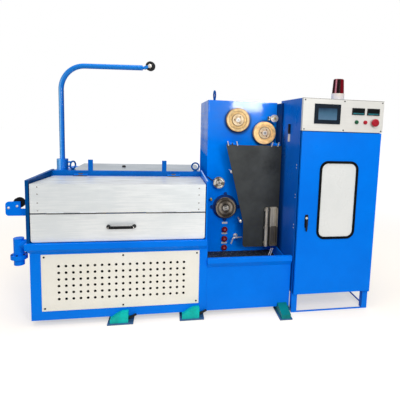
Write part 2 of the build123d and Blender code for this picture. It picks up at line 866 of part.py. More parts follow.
# Take-up: front sheet with its proud lip, sunk tray, mat, solid housing and side cheek
takeup_front = block(base_length, takeup_right, 0, wall, floor_top, takeup_lip_top)
lip_profile = [
    (0, takeup_lip_top),
    (-takeup_lip_proud, takeup_lip_top),
    (-takeup_lip_proud, takeup_lip_bottom),
    (0, takeup_lip_foot),
]
takeup_front += plate_yz(lip_profile, base_length, takeup_right)
nodes["takeup_front"] = takeup_front
nodes["takeup_tray"] = block(
    base_length, takeup_right - wall, wall, side_rear, tray_top - tray_thick, tray_top
)
nodes["tray_mat"] = block(
    base_length + mat_margin,
    takeup_right - wall - mat_margin,
    wall + mat_margin,
    housing_front - mat_margin,
    tray_top,
    tray_top + mat_thick,
)
housing = block(housing_left, housing_right, housing_front, side_rear, tray_top, housing_top)
housing = fillet(housing.edges().filter_by(Axis.Z), housing_edge)
nodes["takeup_housing"] = housing
nodes["takeup_cheek"] = block(
    housing_right,
    cabinet_left,
    guard_front + guard_thick + cheek_clear,
    housing_front + cheek_lap,
    side_top,
    housing_top - housing_edge,
)

# Pulleys on the housing, their fixed shafts with end caps, and the capstan with its bearing ring
nodes["tension_pulley_upper"] = grooved_pulley(*upper_pulley)
nodes["tension_pulley_lower"] = grooved_pulley(*lower_pulley)
nodes["guide_pulley"] = small_pulley(*guide_pulley)
nodes["outlet_pulley"] = small_pulley(*outlet_pulley)
capstan_x, capstan_z, capstan_radius = capstan
ring_front = housing_front - ring_thick
capstan_length = ring_front - capstan_gap - pulley_face
shafts = [
    pulley_shaft(upper_pulley, pulley_width, housing_front),
    pulley_shaft(lower_pulley, pulley_width, housing_front),
    pulley_shaft(guide_pulley, small_pulley_width, housing_front),
    pulley_shaft(outlet_pulley, small_pulley_width, housing_front),
    pulley_shaft(capstan, capstan_length, ring_front),
]
nodes["pulley_shafts"] = Compound(children=shafts)
capstan_waist = capstan_radius - capstan_neck
capstan_front = capstan_length - capstan_flange
dish_depth = capstan_length - capstan_dish
dish_radius = capstan_radius - capstan_rim
capstan_profile = [
    (pulley_shaft_radius + pin_gap, 0),
    (capstan_radius, 0),
    (capstan_radius, capstan_flange),
    (capstan_waist, capstan_flange + capstan_bevel),
    (capstan_waist, capstan_front),
    (capstan_radius, capstan_front + capstan_bevel),
    (capstan_radius, capstan_length),
    (dish_radius, capstan_length),
    (dish_radius - pulley_bevel, dish_depth),
    (capstan_hub_radius + pulley_bevel, dish_depth),
    (capstan_hub_radius, capstan_length),
    (pulley_shaft_radius + pin_gap, capstan_length),
]
nodes["final_capstan"] = turned(capstan_profile, capstan_x, pulley_face + capstan_length, capstan_z)
ring = rod_y(capstan_x, ring_front, housing_front, capstan_z, ring_radius)
for bolt in range(ring_bolts):
    angle = 2 * math.pi * bolt / ring_bolts
    bolt_x = capstan_x + ring_bolt_circle * math.cos(angle)
    bolt_z = capstan_z + ring_bolt_circle * math.sin(angle)
    ring += rod_y(bolt_x, ring_front, housing_front, bolt_z, ring_ear_radius)
    ring += rod_y(bolt_x, ring_front - ring_bolt_height, ring_front, bolt_z, ring_bolt_radius)
nodes["capstan_ring"] = ring

# Guard: a slanted plate that hangs from two hinge arms, with its latch cylinder and bracket
guard_back = guard_front + guard_thick
guard_axis_y = guard_front + guard_thick / 2
guard_axis_z = guard_top + guard_knuckle_radius + knuckle_gap
guard_top_left = housing_left + guard_top_inset
guard_knee_left = housing_left + guard_knee_inset
guard_outline = [
    (guard_top_left, guard_top),
    (guard_right, guard_top),
    (guard_right, guard_bottom),
    (guard_knee_left, guard_bottom),
    (guard_knee_left, guard_knee_height),
]
guard = plate_xz(guard_outline, guard_front, guard_back)
low_left = guard.edges().filter_by(Axis.Y).group_by(Axis.Z)[0].sort_by(Axis.X)[0]
guard = fillet(low_left, guard_corner)
arms = []
for place in (guard_top_left + guard_hinge_insets[0], guard_right - guard_hinge_insets[1]):
    fixed, moving = hinge_knuckles(
        place, guard_hinge_length, guard_axis_y, guard_axis_z, guard_knuckle_radius, guard_pin_radius
    )
    third = guard_hinge_length / 3
    start = place - guard_hinge_length / 2
    web = block(
        start + third + knuckle_gap,
        start + 2 * third - knuckle_gap,
        guard_front,
        guard_back,
        guard_top,
        guard_axis_z - guard_pin_radius - small_clear,
    )
    guard += moving + web
    arm_low = guard_axis_z - guard_arm_height / 2
    arm_front = guard_axis_y + guard_knuckle_radius + end_play
    arm = block(
        start,
        start + guard_hinge_length,
        arm_front,
        housing_front,
        arm_low,
        arm_low + guard_arm_height,
    )
    for left in (start, start + 2 * third):
        arm += block(
            left,
            left + third,
            guard_axis_y,
            arm_front,
            guard_axis_z,
            guard_axis_z + guard_knuckle_radius,
        )
    arms.append(arm + fixed)
nodes["takeup_guard"] = guard
nodes["guard_hinges"] = Compound(children=arms)
latch_rod_x = guard_right - latch_rod_inset
latch_plate_right = guard_right - latch_plate_inset
latch_plate_left = latch_plate_right - latch_plate_width
latch_y = guard_front - latch_reach
latch = rod_z(latch_rod_x, latch_y, latch_bottom, latch_step, latch_body_radius)
latch += rod_z(latch_rod_x, latch_y, latch_step, latch_top, latch_rod_radius)
for low in (latch_bottom + latch_clamp, latch_step - 2 * latch_clamp, latch_top - 2 * latch_clamp):
    latch += block(
        latch_rod_x - latch_body_radius,
        latch_rod_x + latch_body_radius,
        latch_y,
        guard_front,
        low,
        low + latch_clamp,
    )
channel = window_plate(
    latch_plate_left,
    latch_plate_right,
    latch_bottom,
    latch_top,
    latch_round,
    guard_front - latch_plate_depth,
    guard_front,
)
channel -= block(
    latch_plate_left + latch_plate_thick,
    latch_plate_right - latch_plate_thick,
    guard_front - latch_plate_depth,
    guard_front - latch_plate_thick,
    latch_bottom + latch_plate_thick + latch_round,
    latch_top,
)
nodes["guard_latch"] = Compound(children=[latch, channel])

# Push buttons and spray tap on the housing front
buttons = []
for height in button_heights:
    profile = [
        (0, 0),
        (button_collar_radius, 0),
        (button_collar_radius, button_collar),
        (button_stem_radius, button_collar),
        (button_stem_radius, button_stem),
        (button_radius, button_stem),
        (button_radius, button_stem + button_head - button_round),
        (button_radius - button_round, button_stem + button_head),
        (0, button_stem + button_head),
    ]
    buttons.append(turned(profile, housing_left + button_inset, housing_front, height))
nodes["push_buttons"] = Compound(children=buttons)
tap_x = housing_left + tap_inset
tap_front = housing_front - tap_reach
tap = rod_y(tap_x, tap_front, housing_front, tap_z, tap_radius)
tap += rod_y(tap_x, housing_front - tap_flange, housing_front, tap_z, tap_flange_radius)
spout_y = tap_front + tap_radius
spout_path = FilletPolyline(
    (tap_x, spout_y, tap_z),
    (tap_x - tap_shoulder[0], spout_y, tap_z - tap_shoulder[1]),
    (tap_x - tap_spout[0], spout_y, tap_z - tap_spout[1]),
    radius=tap_radius,
)
spout_start = Plane(origin=spout_path @ 0, z_dir=spout_path % 0)
tap += sweep(spout_start * Circle(tap_pipe_radius), path=spout_path)
lever_base = tap_z - tap_lever_height / 2
tap += block(tap_x, tap_x + tap_lever, tap_front, spout_y, lever_base, lever_base + tap_lever_height)
nodes["spray_tap"] = tap

# Control cabinet: sides, back, decks, legs with floor sills
cabinet_rear = cabinet_front + cabinet_depth
shell_front = cabinet_front + door_depth + door_seat
left_side = block(
    cabinet_left, cabinet_left + cabinet_sheet, shell_front, cabinet_rear, cabinet_bottom, cabinet_top
)
right_side = block(
    cabinet_right - cabinet_sheet, cabinet_right, shell_front, cabinet_rear, cabinet_bottom, cabinet_top
)
nodes["cabinet_sides"] = Compound(children=[left_side, right_side])
inside_left = cabinet_left + cabinet_sheet
inside_right = cabinet_right - cabinet_sheet
nodes["cabinet_back"] = block(
    inside_left, inside_right, cabinet_rear - cabinet_sheet, cabinet_rear, cabinet_bottom, cabinet_top
)
deck_rear = cabinet_rear - cabinet_sheet
bottom_deck = block(
    inside_left, inside_right, shell_front, deck_rear, cabinet_bottom, cabinet_bottom + cabinet_sheet
)
door_axis_x = cabinet_right - door_pin_inset
door_axis_y = cabinet_front + door_pin_inset
door_bottom = cabinet_bottom + door_tab + door_margin
tab_left = door_axis_x - 2 * door_pin_inset
tab_front = door_axis_y - door_pin_inset / 2
bottom_deck += block(
    tab_left, inside_right, tab_front, shell_front, cabinet_bottom, cabinet_bottom + door_tab
)
bottom_deck += rod_z(
    door_axis_x, door_axis_y, cabinet_bottom + door_tab, door_bottom + door_pin_length, door_pin_radius
)
top_deck = block(
    inside_left, inside_right, shell_front, deck_rear, cabinet_top - cabinet_sheet, cabinet_top
)
nodes["cabinet_decks"] = Compound(children=[bottom_deck, top_deck])
legs = []
for x0 in (cabinet_left, cabinet_right - leg_width):
    for y0 in (shell_front, cabinet_rear - leg_width):
        legs.append(block(x0, x0 + leg_width, y0, y0 + leg_width, 0, cabinet_bottom))
nodes["cabinet_legs"] = Compound(children=legs)
sills = []
sill_left = cabinet_left + leg_width
sill_right = cabinet_right - leg_width
for y0 in (shell_front, cabinet_rear - wall):
    sills.append(block(sill_left, sill_right, y0, y0 + wall, 0, sill_height))
for x0 in (cabinet_left, cabinet_right - wall):
    sills.append(block(x0, x0 + wall, shell_front + leg_width, cabinet_rear - leg_width, 0, sill_height))
nodes["cabinet_sills"] = Compound(children=sills)

# Control panel: a steel tray across the top of the front, with the upper door pin
panel_low = door_top + door_margin
control_panel = block(cabinet_left, cabinet_right, cabinet_front, shell_front, panel_low, cabinet_top)
control_panel += rod_z(door_axis_x, door_axis_y, door_top - door_pin_length, panel_low, door_pin_radius)
nodes["control_panel"] = control_panel
screen_left = cabinet_left + screen_inset
screen_bottom = door_top + screen_rise
screen_right = screen_left + screen_width
screen_top = screen_bottom + screen_height
screen = block(
    screen_left, screen_right, cabinet_front - screen_proud, cabinet_front, screen_bottom, screen_top
)
screen -= block(
    screen_left + screen_border,
    screen_right - screen_border,
    cabinet_front - screen_proud,
    cabinet_front - screen_proud + screen_recess,
    screen_bottom + screen_border,
    screen_top - screen_border,
)
nodes["touch_screen"] = screen
meters = []
meter_bottom = door_top + meter_rise
for inset in meter_insets:
    left = cabinet_right - inset
    meters.append(
        block(
            left,
            left + meter_width,
            cabinet_front - meter_proud,
            cabinet_front,
            meter_bottom,
            meter_bottom + meter_height,
        )
    )
nodes["panel_meters"] = Compound(children=meters)
button_profile = [
    (0, 0),
    (panel_button_radius, 0),
    (panel_button_radius, panel_button_ring),
    (panel_button_cap_radius, panel_button_ring),
    (panel_button_cap_radius, panel_button_reach),
    (0, panel_button_reach),
]
panel_button_z = door_top + panel_button_rise
nodes["start_button"] = turned(button_profile, cabinet_right - start_inset, cabinet_front, panel_button_z)
stop_button = turned(button_profile, cabinet_right - stop_inset, cabinet_front, panel_button_z)
mushroom = [
    (0, 0),
    (emergency_stem_radius, 0),
    (emergency_stem_radius, emergency_reach - emergency_head),
    (emergency_radius, emergency_reach - emergency_head),
    (emergency_radius, emergency_reach - emergency_head + emergency_edge),
    (emergency_top_radius, emergency_reach),
    (0, emergency_reach),
]
emergency = turned(mushroom, cabinet_right - emergency_inset, cabinet_front, panel_button_z)
nodes["stop_buttons"] = Compound(children=[stop_button, emergency])

# Warning beacon: base and tapered dome with a rounded crown
beacon_x = cabinet_left + beacon_inset
beacon_y = cabinet_front + beacon_setback
nodes["beacon_base"] = rod_z(
    beacon_x, beacon_y, cabinet_top, cabinet_top + beacon_base_height, beacon_base_radius
)
dome_low = cabinet_top + beacon_base_height
dome = Cone(beacon_radius, beacon_top_radius, beacon_height, align=on_end)
dome = fillet(dome.faces().sort_by(Axis.Z)[-1].edges(), beacon_crown)
nodes["beacon_dome"] = Pos(beacon_x, beacon_y, dome_low) * dome

# Cabinet door: a folded pan with a rounded window, its gasket, pane and lock
door_left = cabinet_left + door_margin
door_right = cabinet_right - door_margin
door_rear = cabinet_front + door_depth
door = block(door_left, door_right, cabinet_front, door_rear, door_bottom, door_top)
rim = door_sheet + 2 * door_pin_inset
door -= block(
    door_left + door_sheet,
    door_right - rim,
    cabinet_front + door_sheet,
    door_rear,
    door_bottom + door_sheet,
    door_top - door_sheet,
)
pin_hole = door_pin_length + small_clear
pin_hole_radius = door_pin_radius + pin_gap
door -= rod_z(door_axis_x, door_axis_y, door_bottom, door_bottom + pin_hole, pin_hole_radius)
door -= rod_z(door_axis_x, door_axis_y, door_top - pin_hole, door_top, pin_hole_radius)
window_left = cabinet_left + window_left_margin
window_right = cabinet_right - window_right_margin
window_bottom = cabinet_bottom + window_sill
window_top = door_top - window_head
pane_left = window_left + gasket_width
pane_right = window_right - gasket_width
pane_bottom = window_bottom + gasket_width
pane_top = window_top - gasket_width
pane_corner = window_corner - gasket_width
pane_rear = cabinet_front + door_sheet
gasket_front = cabinet_front - gasket_proud
door -= window_plate(
    pane_left, pane_right, pane_bottom, pane_top, pane_corner, cabinet_front, pane_rear
)
nodes["cabinet_door"] = door
gasket = window_plate(
    window_left, window_right, window_bottom, window_top, window_corner, gasket_front, cabinet_front
)
gasket -= window_plate(
    pane_left, pane_right, pane_bottom, pane_top, pane_corner, gasket_front, cabinet_front
)
nodes["window_gasket"] = gasket
nodes["door_window"] = window_plate(
    pane_left + face_gap,
    pane_right - face_gap,
    pane_bottom + face_gap,
    pane_top - face_gap,
    pane_corner,
    cabinet_front,
    pane_rear,
)
lock_x = cabinet_left + lock_inset
lock_z = cabinet_bottom + lock_rise
lock_left = lock_x - lock_width / 2
lock_low = lock_z - lock_height / 2
lock = window_plate(
    lock_left,
    lock_left + lock_width,
    lock_low,
    lock_low + lock_height,
    lock_corner,
    cabinet_front - lock_thick,
    cabinet_front,
)
lever_left = lock_x - lever_width / 2
lever_low = lock_z - lever_height / 2
lock += block(
    lever_left,
    lever_left + lever_width,
    cabinet_front - lock_thick - lever_thick,
    cabinet_front - lock_thick,
    lever_low,
    lever_low + lever_height,
)
nodes["door_handle"] = lock

# The origin is the middle of the footprint, on the floor
whole = Compound(children=[Compound(children=part.solids()) for part in nodes.values()]).bounding_box()
origin_x = (whole.min.X + whole.max.X) / 2
origin_y = (whole.min.Y + whole.max.Y) / 2
for name, part in nodes.items():
    placed = [Pos(-origin_x, -origin_y, 0) * solid for solid in part.solids()]
    export_step(placed[0] if len(placed) == 1 else Compound(children=placed), f"parts/{name}.step")
print("nodes", len(nodes), "size", whole.size, "origin", origin_x, origin_y)
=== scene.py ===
# %% [markdown]
# # Wire drawing machine
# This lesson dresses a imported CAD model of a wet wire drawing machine: a lidded tank on a vented base, a
# tall take-up housing with pulleys, and a control cabinet. The CAD solids keep their shapes and places.
# Here they get their paint, metal and plastic, and the small fittings that are too fine for the CAD model.

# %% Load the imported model
import math
from types import SimpleNamespace

import bmesh
import bpy
import numpy as np
from mathutils import Matrix, Vector


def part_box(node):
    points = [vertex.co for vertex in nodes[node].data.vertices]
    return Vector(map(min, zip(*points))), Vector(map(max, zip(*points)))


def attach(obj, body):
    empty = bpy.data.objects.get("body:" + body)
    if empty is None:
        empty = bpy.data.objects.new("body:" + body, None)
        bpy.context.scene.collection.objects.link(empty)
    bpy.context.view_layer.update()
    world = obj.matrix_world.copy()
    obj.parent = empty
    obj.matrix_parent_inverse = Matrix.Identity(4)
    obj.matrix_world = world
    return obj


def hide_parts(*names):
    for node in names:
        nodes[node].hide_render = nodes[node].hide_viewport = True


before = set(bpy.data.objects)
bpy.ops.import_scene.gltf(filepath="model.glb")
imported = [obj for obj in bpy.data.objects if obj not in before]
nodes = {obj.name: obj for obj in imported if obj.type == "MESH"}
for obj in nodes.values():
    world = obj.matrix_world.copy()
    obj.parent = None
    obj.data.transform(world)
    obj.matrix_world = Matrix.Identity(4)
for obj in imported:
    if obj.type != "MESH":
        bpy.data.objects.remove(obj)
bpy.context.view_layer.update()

# %% [markdown]
# Measurements of the machine were taken in millimetres from the left end of the base, its front plane and
# the floor. The front sheet of the base starts at that corner, so its box gives the shift to Blender's
# metres.

# %% Places in millimetres
base_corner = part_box("base_front")[0]
MM = 0.001


def at(x, y, z):
    """Point in metres from machine millimetres: each value times 0.001, plus the base's corner in X and Y."""
    return np.array([x * MM + base_corner.x, y * MM + base_corner.y, z * MM])


def span(node):
    """Lowest and highest corner of a node in machine millimetres."""
    corner = np.array([base_corner.x, base_corner.y, 0.0])
    return [(np.array(point) - corner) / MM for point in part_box(node)]


def axis_of(node):
    """Middle of a node's box in metres, which lies on a turned part's axis."""
    low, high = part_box(node)
    return (low + high) / 2


print("base corner:", [round(v, 4) for v in base_corner])

# %% [markdown]
# ## Helpers for materials
# Colours are written as sRGB hex values, as a paint card gives them. Blender works in linear light, so one
# function undoes the sRGB curve. A second one adds a shader node with its settings and links, and
# everything else is built from those two.

# %% Colour and node helpers


def paint(text):
    """Linear RGBA from an sRGB hex value: each channel over 255, then the sRGB curve undone."""
    srgb = np.array([int(text[i:i + 2], 16) for i in (1, 3, 5)]) / 255
    linear = np.where(srgb <= 0.04045, srgb / 12.92, ((srgb + 0.055) / 1.055) ** 2.4)
    return (*linear.tolist(), 1.0)


def add(tree, kind, inputs=None, stops=None, **settings):
    """Adds a node with its settings, its inputs (constants, or sockets to link) and the stops of a ramp."""
    node = tree.nodes.new("ShaderNode" + kind)
    for name, value in settings.items():
        setattr(node, name, value)
    for name, value in (inputs or {}).items():
        if isinstance(value, bpy.types.NodeSocket):
            tree.links.new(value, node.inputs[name])
        else:
            node.inputs[name].default_value = value
    for i, (place, colour) in enumerate(stops or []):
        ramp = node.color_ramp.elements
        element = ramp[i] if i < 2 else ramp.new(place)
        element.position = place
        element.color = colour
    return node


# %% [markdown]
# Most tones and masks are the same few steps: carry a value from one range to another, do one sum, blend
# two colours, or draw cloudy noise of a given size. Short functions for them keep each finish readable.

# %% Steps of a node tree


def mapped(value, low, high, at_low=0.0, at_high=1.0):
    """Value carried straight from low..high to at_low..at_high, and held at both ends."""
    limits = {"Value": value, "From Min": low, "From Max": high, "To Min": at_low, "To Max": at_high}
    return add(value.id_data, "MapRange", limits).outputs["Result"]


def calc(operation, *values):
    """One step of arithmetic on numbers."""
    return add(values[0].id_data, "Math", dict(enumerate(values)), operation=operation).outputs["Value"]


def vector(operation, *values):
    """One step of arithmetic on vectors. Lengths and distances come out as a number."""
    output = "Value" if operation in ("LENGTH", "DISTANCE") else "Vector"
    return add(values[0].id_data, "VectorMath", dict(enumerate(values)), operation=operation).outputs[output]


def axes(place):
    """X, Y and Z of a vector."""
    return add(place.id_data, "SeparateXYZ", {"Vector": place}).outputs


def blend(share, first, second):
    """First colour turned into the second by a share from 0 to 1."""
    sides = {"Factor": share, "A": first, "B": second}
    return add(share.id_data, "Mix", sides, data_type="RGBA").outputs["Result"]


def banded(share, bands):
    """Colour ramp over a share, from pairs of place and hex colour."""
    stops = [(place, paint(text)) for place, text in bands]
    return add(share.id_data, "ValToRGB", {"Fac": share}, stops).outputs["Color"]


def noise(place, size_mm, detail=2.0, rough=0.5):
    """Cloudy pattern with patches about size_mm wide, and detail finer layers that weaken by rough."""
    look = {"Vector": place, "Scale": 1000 / size_mm, "Detail": detail, "Roughness": rough}
    return add(place.id_data, "TexNoise", look).outputs["Fac"]


def stretched(place, sizes_mm):
    """Coordinates for noise with its own patch size along X, Y and Z, drawn with a size of 1000."""
    scale = tuple(1000 / size for size in sizes_mm)
    return add(place.id_data, "Mapping", {"Vector": place, "Scale": scale}).outputs["Vector"]


def bumped(height, strength, depth_mm):
    """Normal of a surface that a pattern raises by up to depth_mm."""
    relief = {"Height": height, "Strength": strength, "Distance": depth_mm * MM}
    return add(height.id_data, "Bump", relief).outputs["Normal"]


def feed(bsdf, **sockets):
    """Links sockets to the shader's inputs, with _ for the spaces in their names."""
    for name, socket in sockets.items():
        bsdf.id_data.links.new(socket, bsdf.inputs[name.replace("_", " ")])


# %% [markdown]
# A material is opened to get its shader and the coordinates that stay fixed to the object when a joint
# moves. Marks laid on a finish, such as painted shade, painted reflections and the brown of hinge knuckles,
# are painted over the colour it already has.

# %% Starting and opening a material


def opened(material):
    """A material's tree and shader, Object coordinates, their X, Y and Z, and the object's own normal."""
    tree = material.node_tree
    fixed = add(tree, "TexCoord").outputs
    return SimpleNamespace(material=material, tree=tree, bsdf=tree.nodes["Principled BSDF"],
                           coords=fixed["Object"], place=axes(fixed["Object"]), normal=axes(fixed["Normal"]))


def start_material(name, **shader):
    """New material, opened, with constants set on its Principled shader."""
    material = bpy.data.materials.new(name)
    material.use_nodes = True
    new = opened(material)
    for socket, value in shader.items():
        new.bsdf.inputs[socket.replace("_", " ")].default_value = value
    return new


def overpaint(skin, share, colour):
    """Blends a colour into the base colour that an opened material already has, by a share."""
    base = skin.bsdf.inputs["Base Color"]
    feed(skin.bsdf, Base_Color=blend(share, base.links[0].from_socket, paint(colour)))


# %% [markdown]
# ## Paints and plastics
# Sprayed enamel, powder coat and moulded plastic are all a colour with slow patches of wear, a fine skin
# and an uneven gloss. One function makes them from real sizes: how wide the patches are, how far apart the
# bumps of the skin lie, and how deep they are.

# %% Coated surfaces


def coated(name, colour, shade, rough, patch_mm, skin_mm, skin_depth_mm, specular=0.5, dust=0.0,
           dust_top_mm=300, **shader):
    """Paint or plastic: colour drifts to shade over noise patches, which also vary the gloss about rough.
    The skin is fine noise as bump. Dust pales the foot by a share that falls to 0 at dust_top_mm."""
    new = start_material(name, Specular_IOR_Level=specular, **shader)
    patches = noise(new.coords, patch_mm, 5.0, 0.6)
    tone = blend(mapped(patches, 0.38, 0.68), paint(colour), paint(shade))
    if dust:
        fall = mapped(new.place["Z"], 0.0, dust_top_mm * MM, dust, 0.0)
        specks = noise(new.coords, 45, 8.0, 0.7)
        tone = blend(calc("MULTIPLY", fall, specks), tone, paint("#8d9194"))
    gloss = mapped(patches, 0.3, 0.7, rough - 0.06, rough + 0.08)
    skin = noise(new.coords, skin_mm)
    feed(new.bsdf, Base_Color=tone, Roughness=gloss, Normal=bumped(skin, 0.35, skin_depth_mm))
    return new.material


# %% [markdown]
# Blue enamel covers most of the machine. It is one paint, but its shade differs from part to part. Most of
# the darker and paler blues below are painted shade and painted highlights, fitted as colour.

# %% Blue enamels
# Sprayed enamel on sheet: an even, bright blue with a low sheen and a faint orange peel.
blue_enamel = coated("sprayed_blue_enamel", "#007cf2", "#0072e6", 0.3, 420, 5, 0.25, 0.06, dust=0.03,
                     dust_top_mm=160)
# Enamel on the rear bar: the same blue, deeper, as painted shade. Enamel on the rear
# bar: the same blue, deeper, fitted to the photograph.
bar_enamel = coated("bar_shaded_blue_enamel", "#0060ba", "#0056aa", 0.35, 300, 5, 0.2, specular=0.06)
# Enamel in the gap beside the cabinet: nearly navy, painted shade of the gap. Enamel in
# the gap beside the cabinet: nearly navy, fitted to how dark the gap shows.
inner_enamel = coated("shaded_blue_enamel", "#002e68", "#002759", 0.4, 300, 6, 0.2, specular=0.1)
# Enamel on the capstan's cast ring: a dark, soft blue that is painted shade, a frame that sets off the bright
# bronze.
ring_enamel = coated("ring_shaded_blue_enamel", "#063f8c", "#063068", 0.4, 60, 4, 0.2, specular=0.15)
# Enamel on forged eyes, chipped by hooks: small dark patches and a broken sheen.
eye_enamel = coated("chipped_blue_enamel", "#00539c", "#00417c", 0.4, 30, 3, 0.2, specular=0.06)

# Enamel on the tank's left wall: dark blue on the edges as painted shade, and full blue on the outer face
# only. Enamel on the tank's left wall: dark on the edges, as fitted, and full blue on the outer face
# only.
wall_enamel = coated("edge_shaded_blue_enamel", "#004a8e", "#00427f", 0.35, 300, 5, 0.2, specular=0.06)
skin = opened(wall_enamel)
outer_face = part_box("tank_left_wall")[0].x + 0.5 * MM
overpaint(skin, calc("LESS_THAN", skin.place["X"], outer_face), "#0074e2")

# Enamel on the tank's right wall: a pale line along its upward faces, a painted reflection of the sky.
edge_enamel = coated("sky_reflection_blue_enamel", "#0076e6", "#006cda", 0.3, 300, 5, 0.2, specular=0.06)
skin = opened(edge_enamel)
overpaint(skin, mapped(skin.normal["Z"], 0.2, 0.4, 0.0, 0.7), "#b4cfee")

# Enamel on the jib's pipe: a painted highlight on the upright's left and painted shade on its right,
# set by the normal.
pipe_enamel = coated("smooth_blue_enamel", "#0068cc", "#005ebe", 0.3, 200, 5, 0.1, specular=0.03,
                     Coat_Weight=0.4, Coat_Roughness=0.1)
skin = opened(pipe_enamel)
pipe_shading_bands = [(0.0, "#4a94d2"), (0.28, "#5aa2de"), (0.4, "#7cc0fa"), (0.5, "#167fdc"), (0.68, "#0d6fd0"),
              (0.88, "#0456b0"), (1.0, "#034790")]
feed(skin.bsdf, Base_Color=banded(mapped(skin.normal["X"], -1.0, 1.0), pipe_shading_bands))
bend_start, bend_end = 1.58, 1.74
overpaint(skin, mapped(skin.place["Z"], bend_start, bend_end), "#0f7bd8")

# Enamel on the cabinet's sides: a calm, darker blue as painted shade, and a painted shadow at the rear of the
# left one, low down.
side_enamel = coated("side_blue_enamel", "#0066cc", "#005ec0", 0.3, 420, 5, 0.25, specular=0.05)
skin = opened(side_enamel)
outer_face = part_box("cabinet_sides")[0].x + 0.5 * MM
outer = calc("LESS_THAN", skin.place["X"], outer_face)
# Painted shadow: dark navy on the outer face towards its rear and below the lock.
deep = mapped(skin.place["Y"], at(0, 265, 0)[1], at(0, 325, 0)[1], 0.0, 0.7)
shadow_top, shadow_full = 1.34, 1.28
low = mapped(skin.place["Z"], shadow_top, shadow_full)
overpaint(skin, calc("MULTIPLY", calc("MULTIPLY", deep, low), outer), "#011d4a")
print("materials so far:", len(bpy.data.materials))

# %% [markdown]
# The tall housing is the glossiest sheet. Its upper front was polished and mirrors a lamp, and wiping left
# bands of sheen in it. A dark ring behind each of the two large wheels is their painted shadow. It may be
# shadow, and is taken here as oil that they throw off.

# %% Enamel of the tall housing
# Glossy enamel under a clear coat: a soft mirror at the top of the front, which dulls lower down.
housing_patch_mm = 260
housing_enamel = coated("glossy_blue_enamel", "#0080f4", "#0075e6", 0.22, housing_patch_mm, 6, 0.15,
                        specular=0.05, Coat_Roughness=0.07)
skin = opened(housing_enamel)
front_only = mapped(skin.normal["Y"], -0.9, -0.5, 1.0, 0.0)
clear = mapped(noise(skin.coords, housing_patch_mm, 5.0, 0.6), 0.35, 0.65, 0.3, 1.0)
coat_top = calc("MULTIPLY", front_only, mapped(skin.place["Z"], 1.2, 1.4))
wiped_bands = stretched(skin.coords, (math.inf, math.inf, 70))
sheen = mapped(noise(wiped_bands, 1000), 0.4, 0.6, 0.1, 1.0)
polish = mapped(skin.place["Z"], 1.1, 1.5, 0.0, 0.09)
feed(skin.bsdf, Coat_Weight=calc("MULTIPLY", clear, coat_top),
     Specular_IOR_Level=calc("MULTIPLY", polish, sheen))
across_face = (1, 0, 1)
ring_inner, ring_outer, wheel_shadow_share = 98 * MM, 122 * MM, 0.85
# Painted shadow: a dark ring on the front face around each large wheel.
for ring_x, ring_z in ((1432, 1403), (1664, 1302)):
    hub = tuple(at(ring_x, 0, ring_z) * across_face)
    away = vector("DISTANCE", vector("MULTIPLY", skin.coords, across_face), hub)
    wheel_shadow = mapped(away, ring_inner, ring_outer, wheel_shadow_share, 0.0)
    overpaint(skin, calc("MULTIPLY", wheel_shadow, front_only), "#041d3c")
print("housing painted shadow rings: 2")

# %% [markdown]
# The vent panel is powder-coated cream sheet with a punched grid of holes. They show as solid black dots, so
# the wall of each hole and a thin rim around it are darkened as painted shade. The rim comes from the
# distance
# to the nearest hole: coordinates wrapped to one cell of the grid.

# %% Vent panel
# Powder coat: warm white and matt, with a little floor dust low down, and painted shade in and around the
# holes.
cream_coat = coated("powder_coated_cream_sheet", "#f1f0e8", "#eae8dd", 0.5, 260, 3, 0.3, dust=0.2,
                    dust_top_mm=200)
skin = opened(cream_coat)
vent_low, vent_high = span("vent_panel")
hole_pitch, hole_columns, hole_rows, hole_shade_radius = 45.2, 19, 6, 9.0
off_middle = vector("SUBTRACT", skin.coords, tuple(at(*(vent_low + vent_high) / 2)))
off_hole = vector("SUBTRACT", off_middle, (0, 0, hole_pitch / 2 * MM))
half_cell = np.array([hole_pitch / 2 * MM, 1.0, hole_pitch / 2 * MM])
cell = vector("WRAP", off_hole, tuple(half_cell), tuple(-half_cell))
away = vector("LENGTH", vector("MULTIPLY", cell, across_face))
rim = calc("LESS_THAN", away, hole_shade_radius * MM)
field = axes(vector("ABSOLUTE", off_middle))
for way, count in (("X", hole_columns), ("Z", hole_rows)):
    rim = calc("MULTIPLY", rim, calc("LESS_THAN", field[way], count / 2 * hole_pitch * MM))
in_hole = mapped(skin.normal["Y"], -0.7, -0.4)
# Painted shade: the hole walls and a rim round each hole are darkened.
overpaint(skin, calc("MAXIMUM", rim, in_hole), "#0b0b0a")
print("vent holes with painted shade:", hole_columns * hole_rows)

# %% [markdown]
# The guard is smoked plastic, the mounts are castings enamelled at the foundry, and the tray's mat is
# moulded rubber. The guard has a ragged darker patch, and the mount at the right end carries painted shade.

# %% Guard, mounts and mat
# Smoked plastic sheet: matt charcoal, with a ragged darker patch on its right part.
guard_sheet = coated("smoked_grey_guard_sheet", "#393c3b", "#2a2c2b", 0.5, 150, 4, 0.2, specular=0.3)
skin = opened(guard_sheet)
patch_reach = vector("DISTANCE", skin.coords, tuple(at(1690, 380, 1040)))
ragged = calc("MULTIPLY_ADD", noise(skin.coords, 30, 6.0), 0.13, patch_reach)
overpaint(skin, mapped(ragged, 60 * MM, 150 * MM, 0.75, 0.0), "#151818")

# Foundry enamel on the wedges: fresh turquoise, with painted shade on the one at the right end.
mount_green = coated("green_enamel_casting", "#04c4bc", "#0aa69c", 0.38, 70, 4, 0.4, 0.12, dust=0.05,
                     dust_top_mm=90)
skin = opened(mount_green)
overpaint(skin, mapped(skin.place["X"], at(1600, 0, 0)[0], at(1660, 0, 0)[0], 0.0, 0.7), "#05525c")
# Foundry enamel on the foot plates: grey-blue under floor dust.
mount_blue = coated("blue_enamel_casting", "#1a5f96", "#154f80", 0.42, 70, 4, 0.4, dust=0.3, dust_top_mm=40)

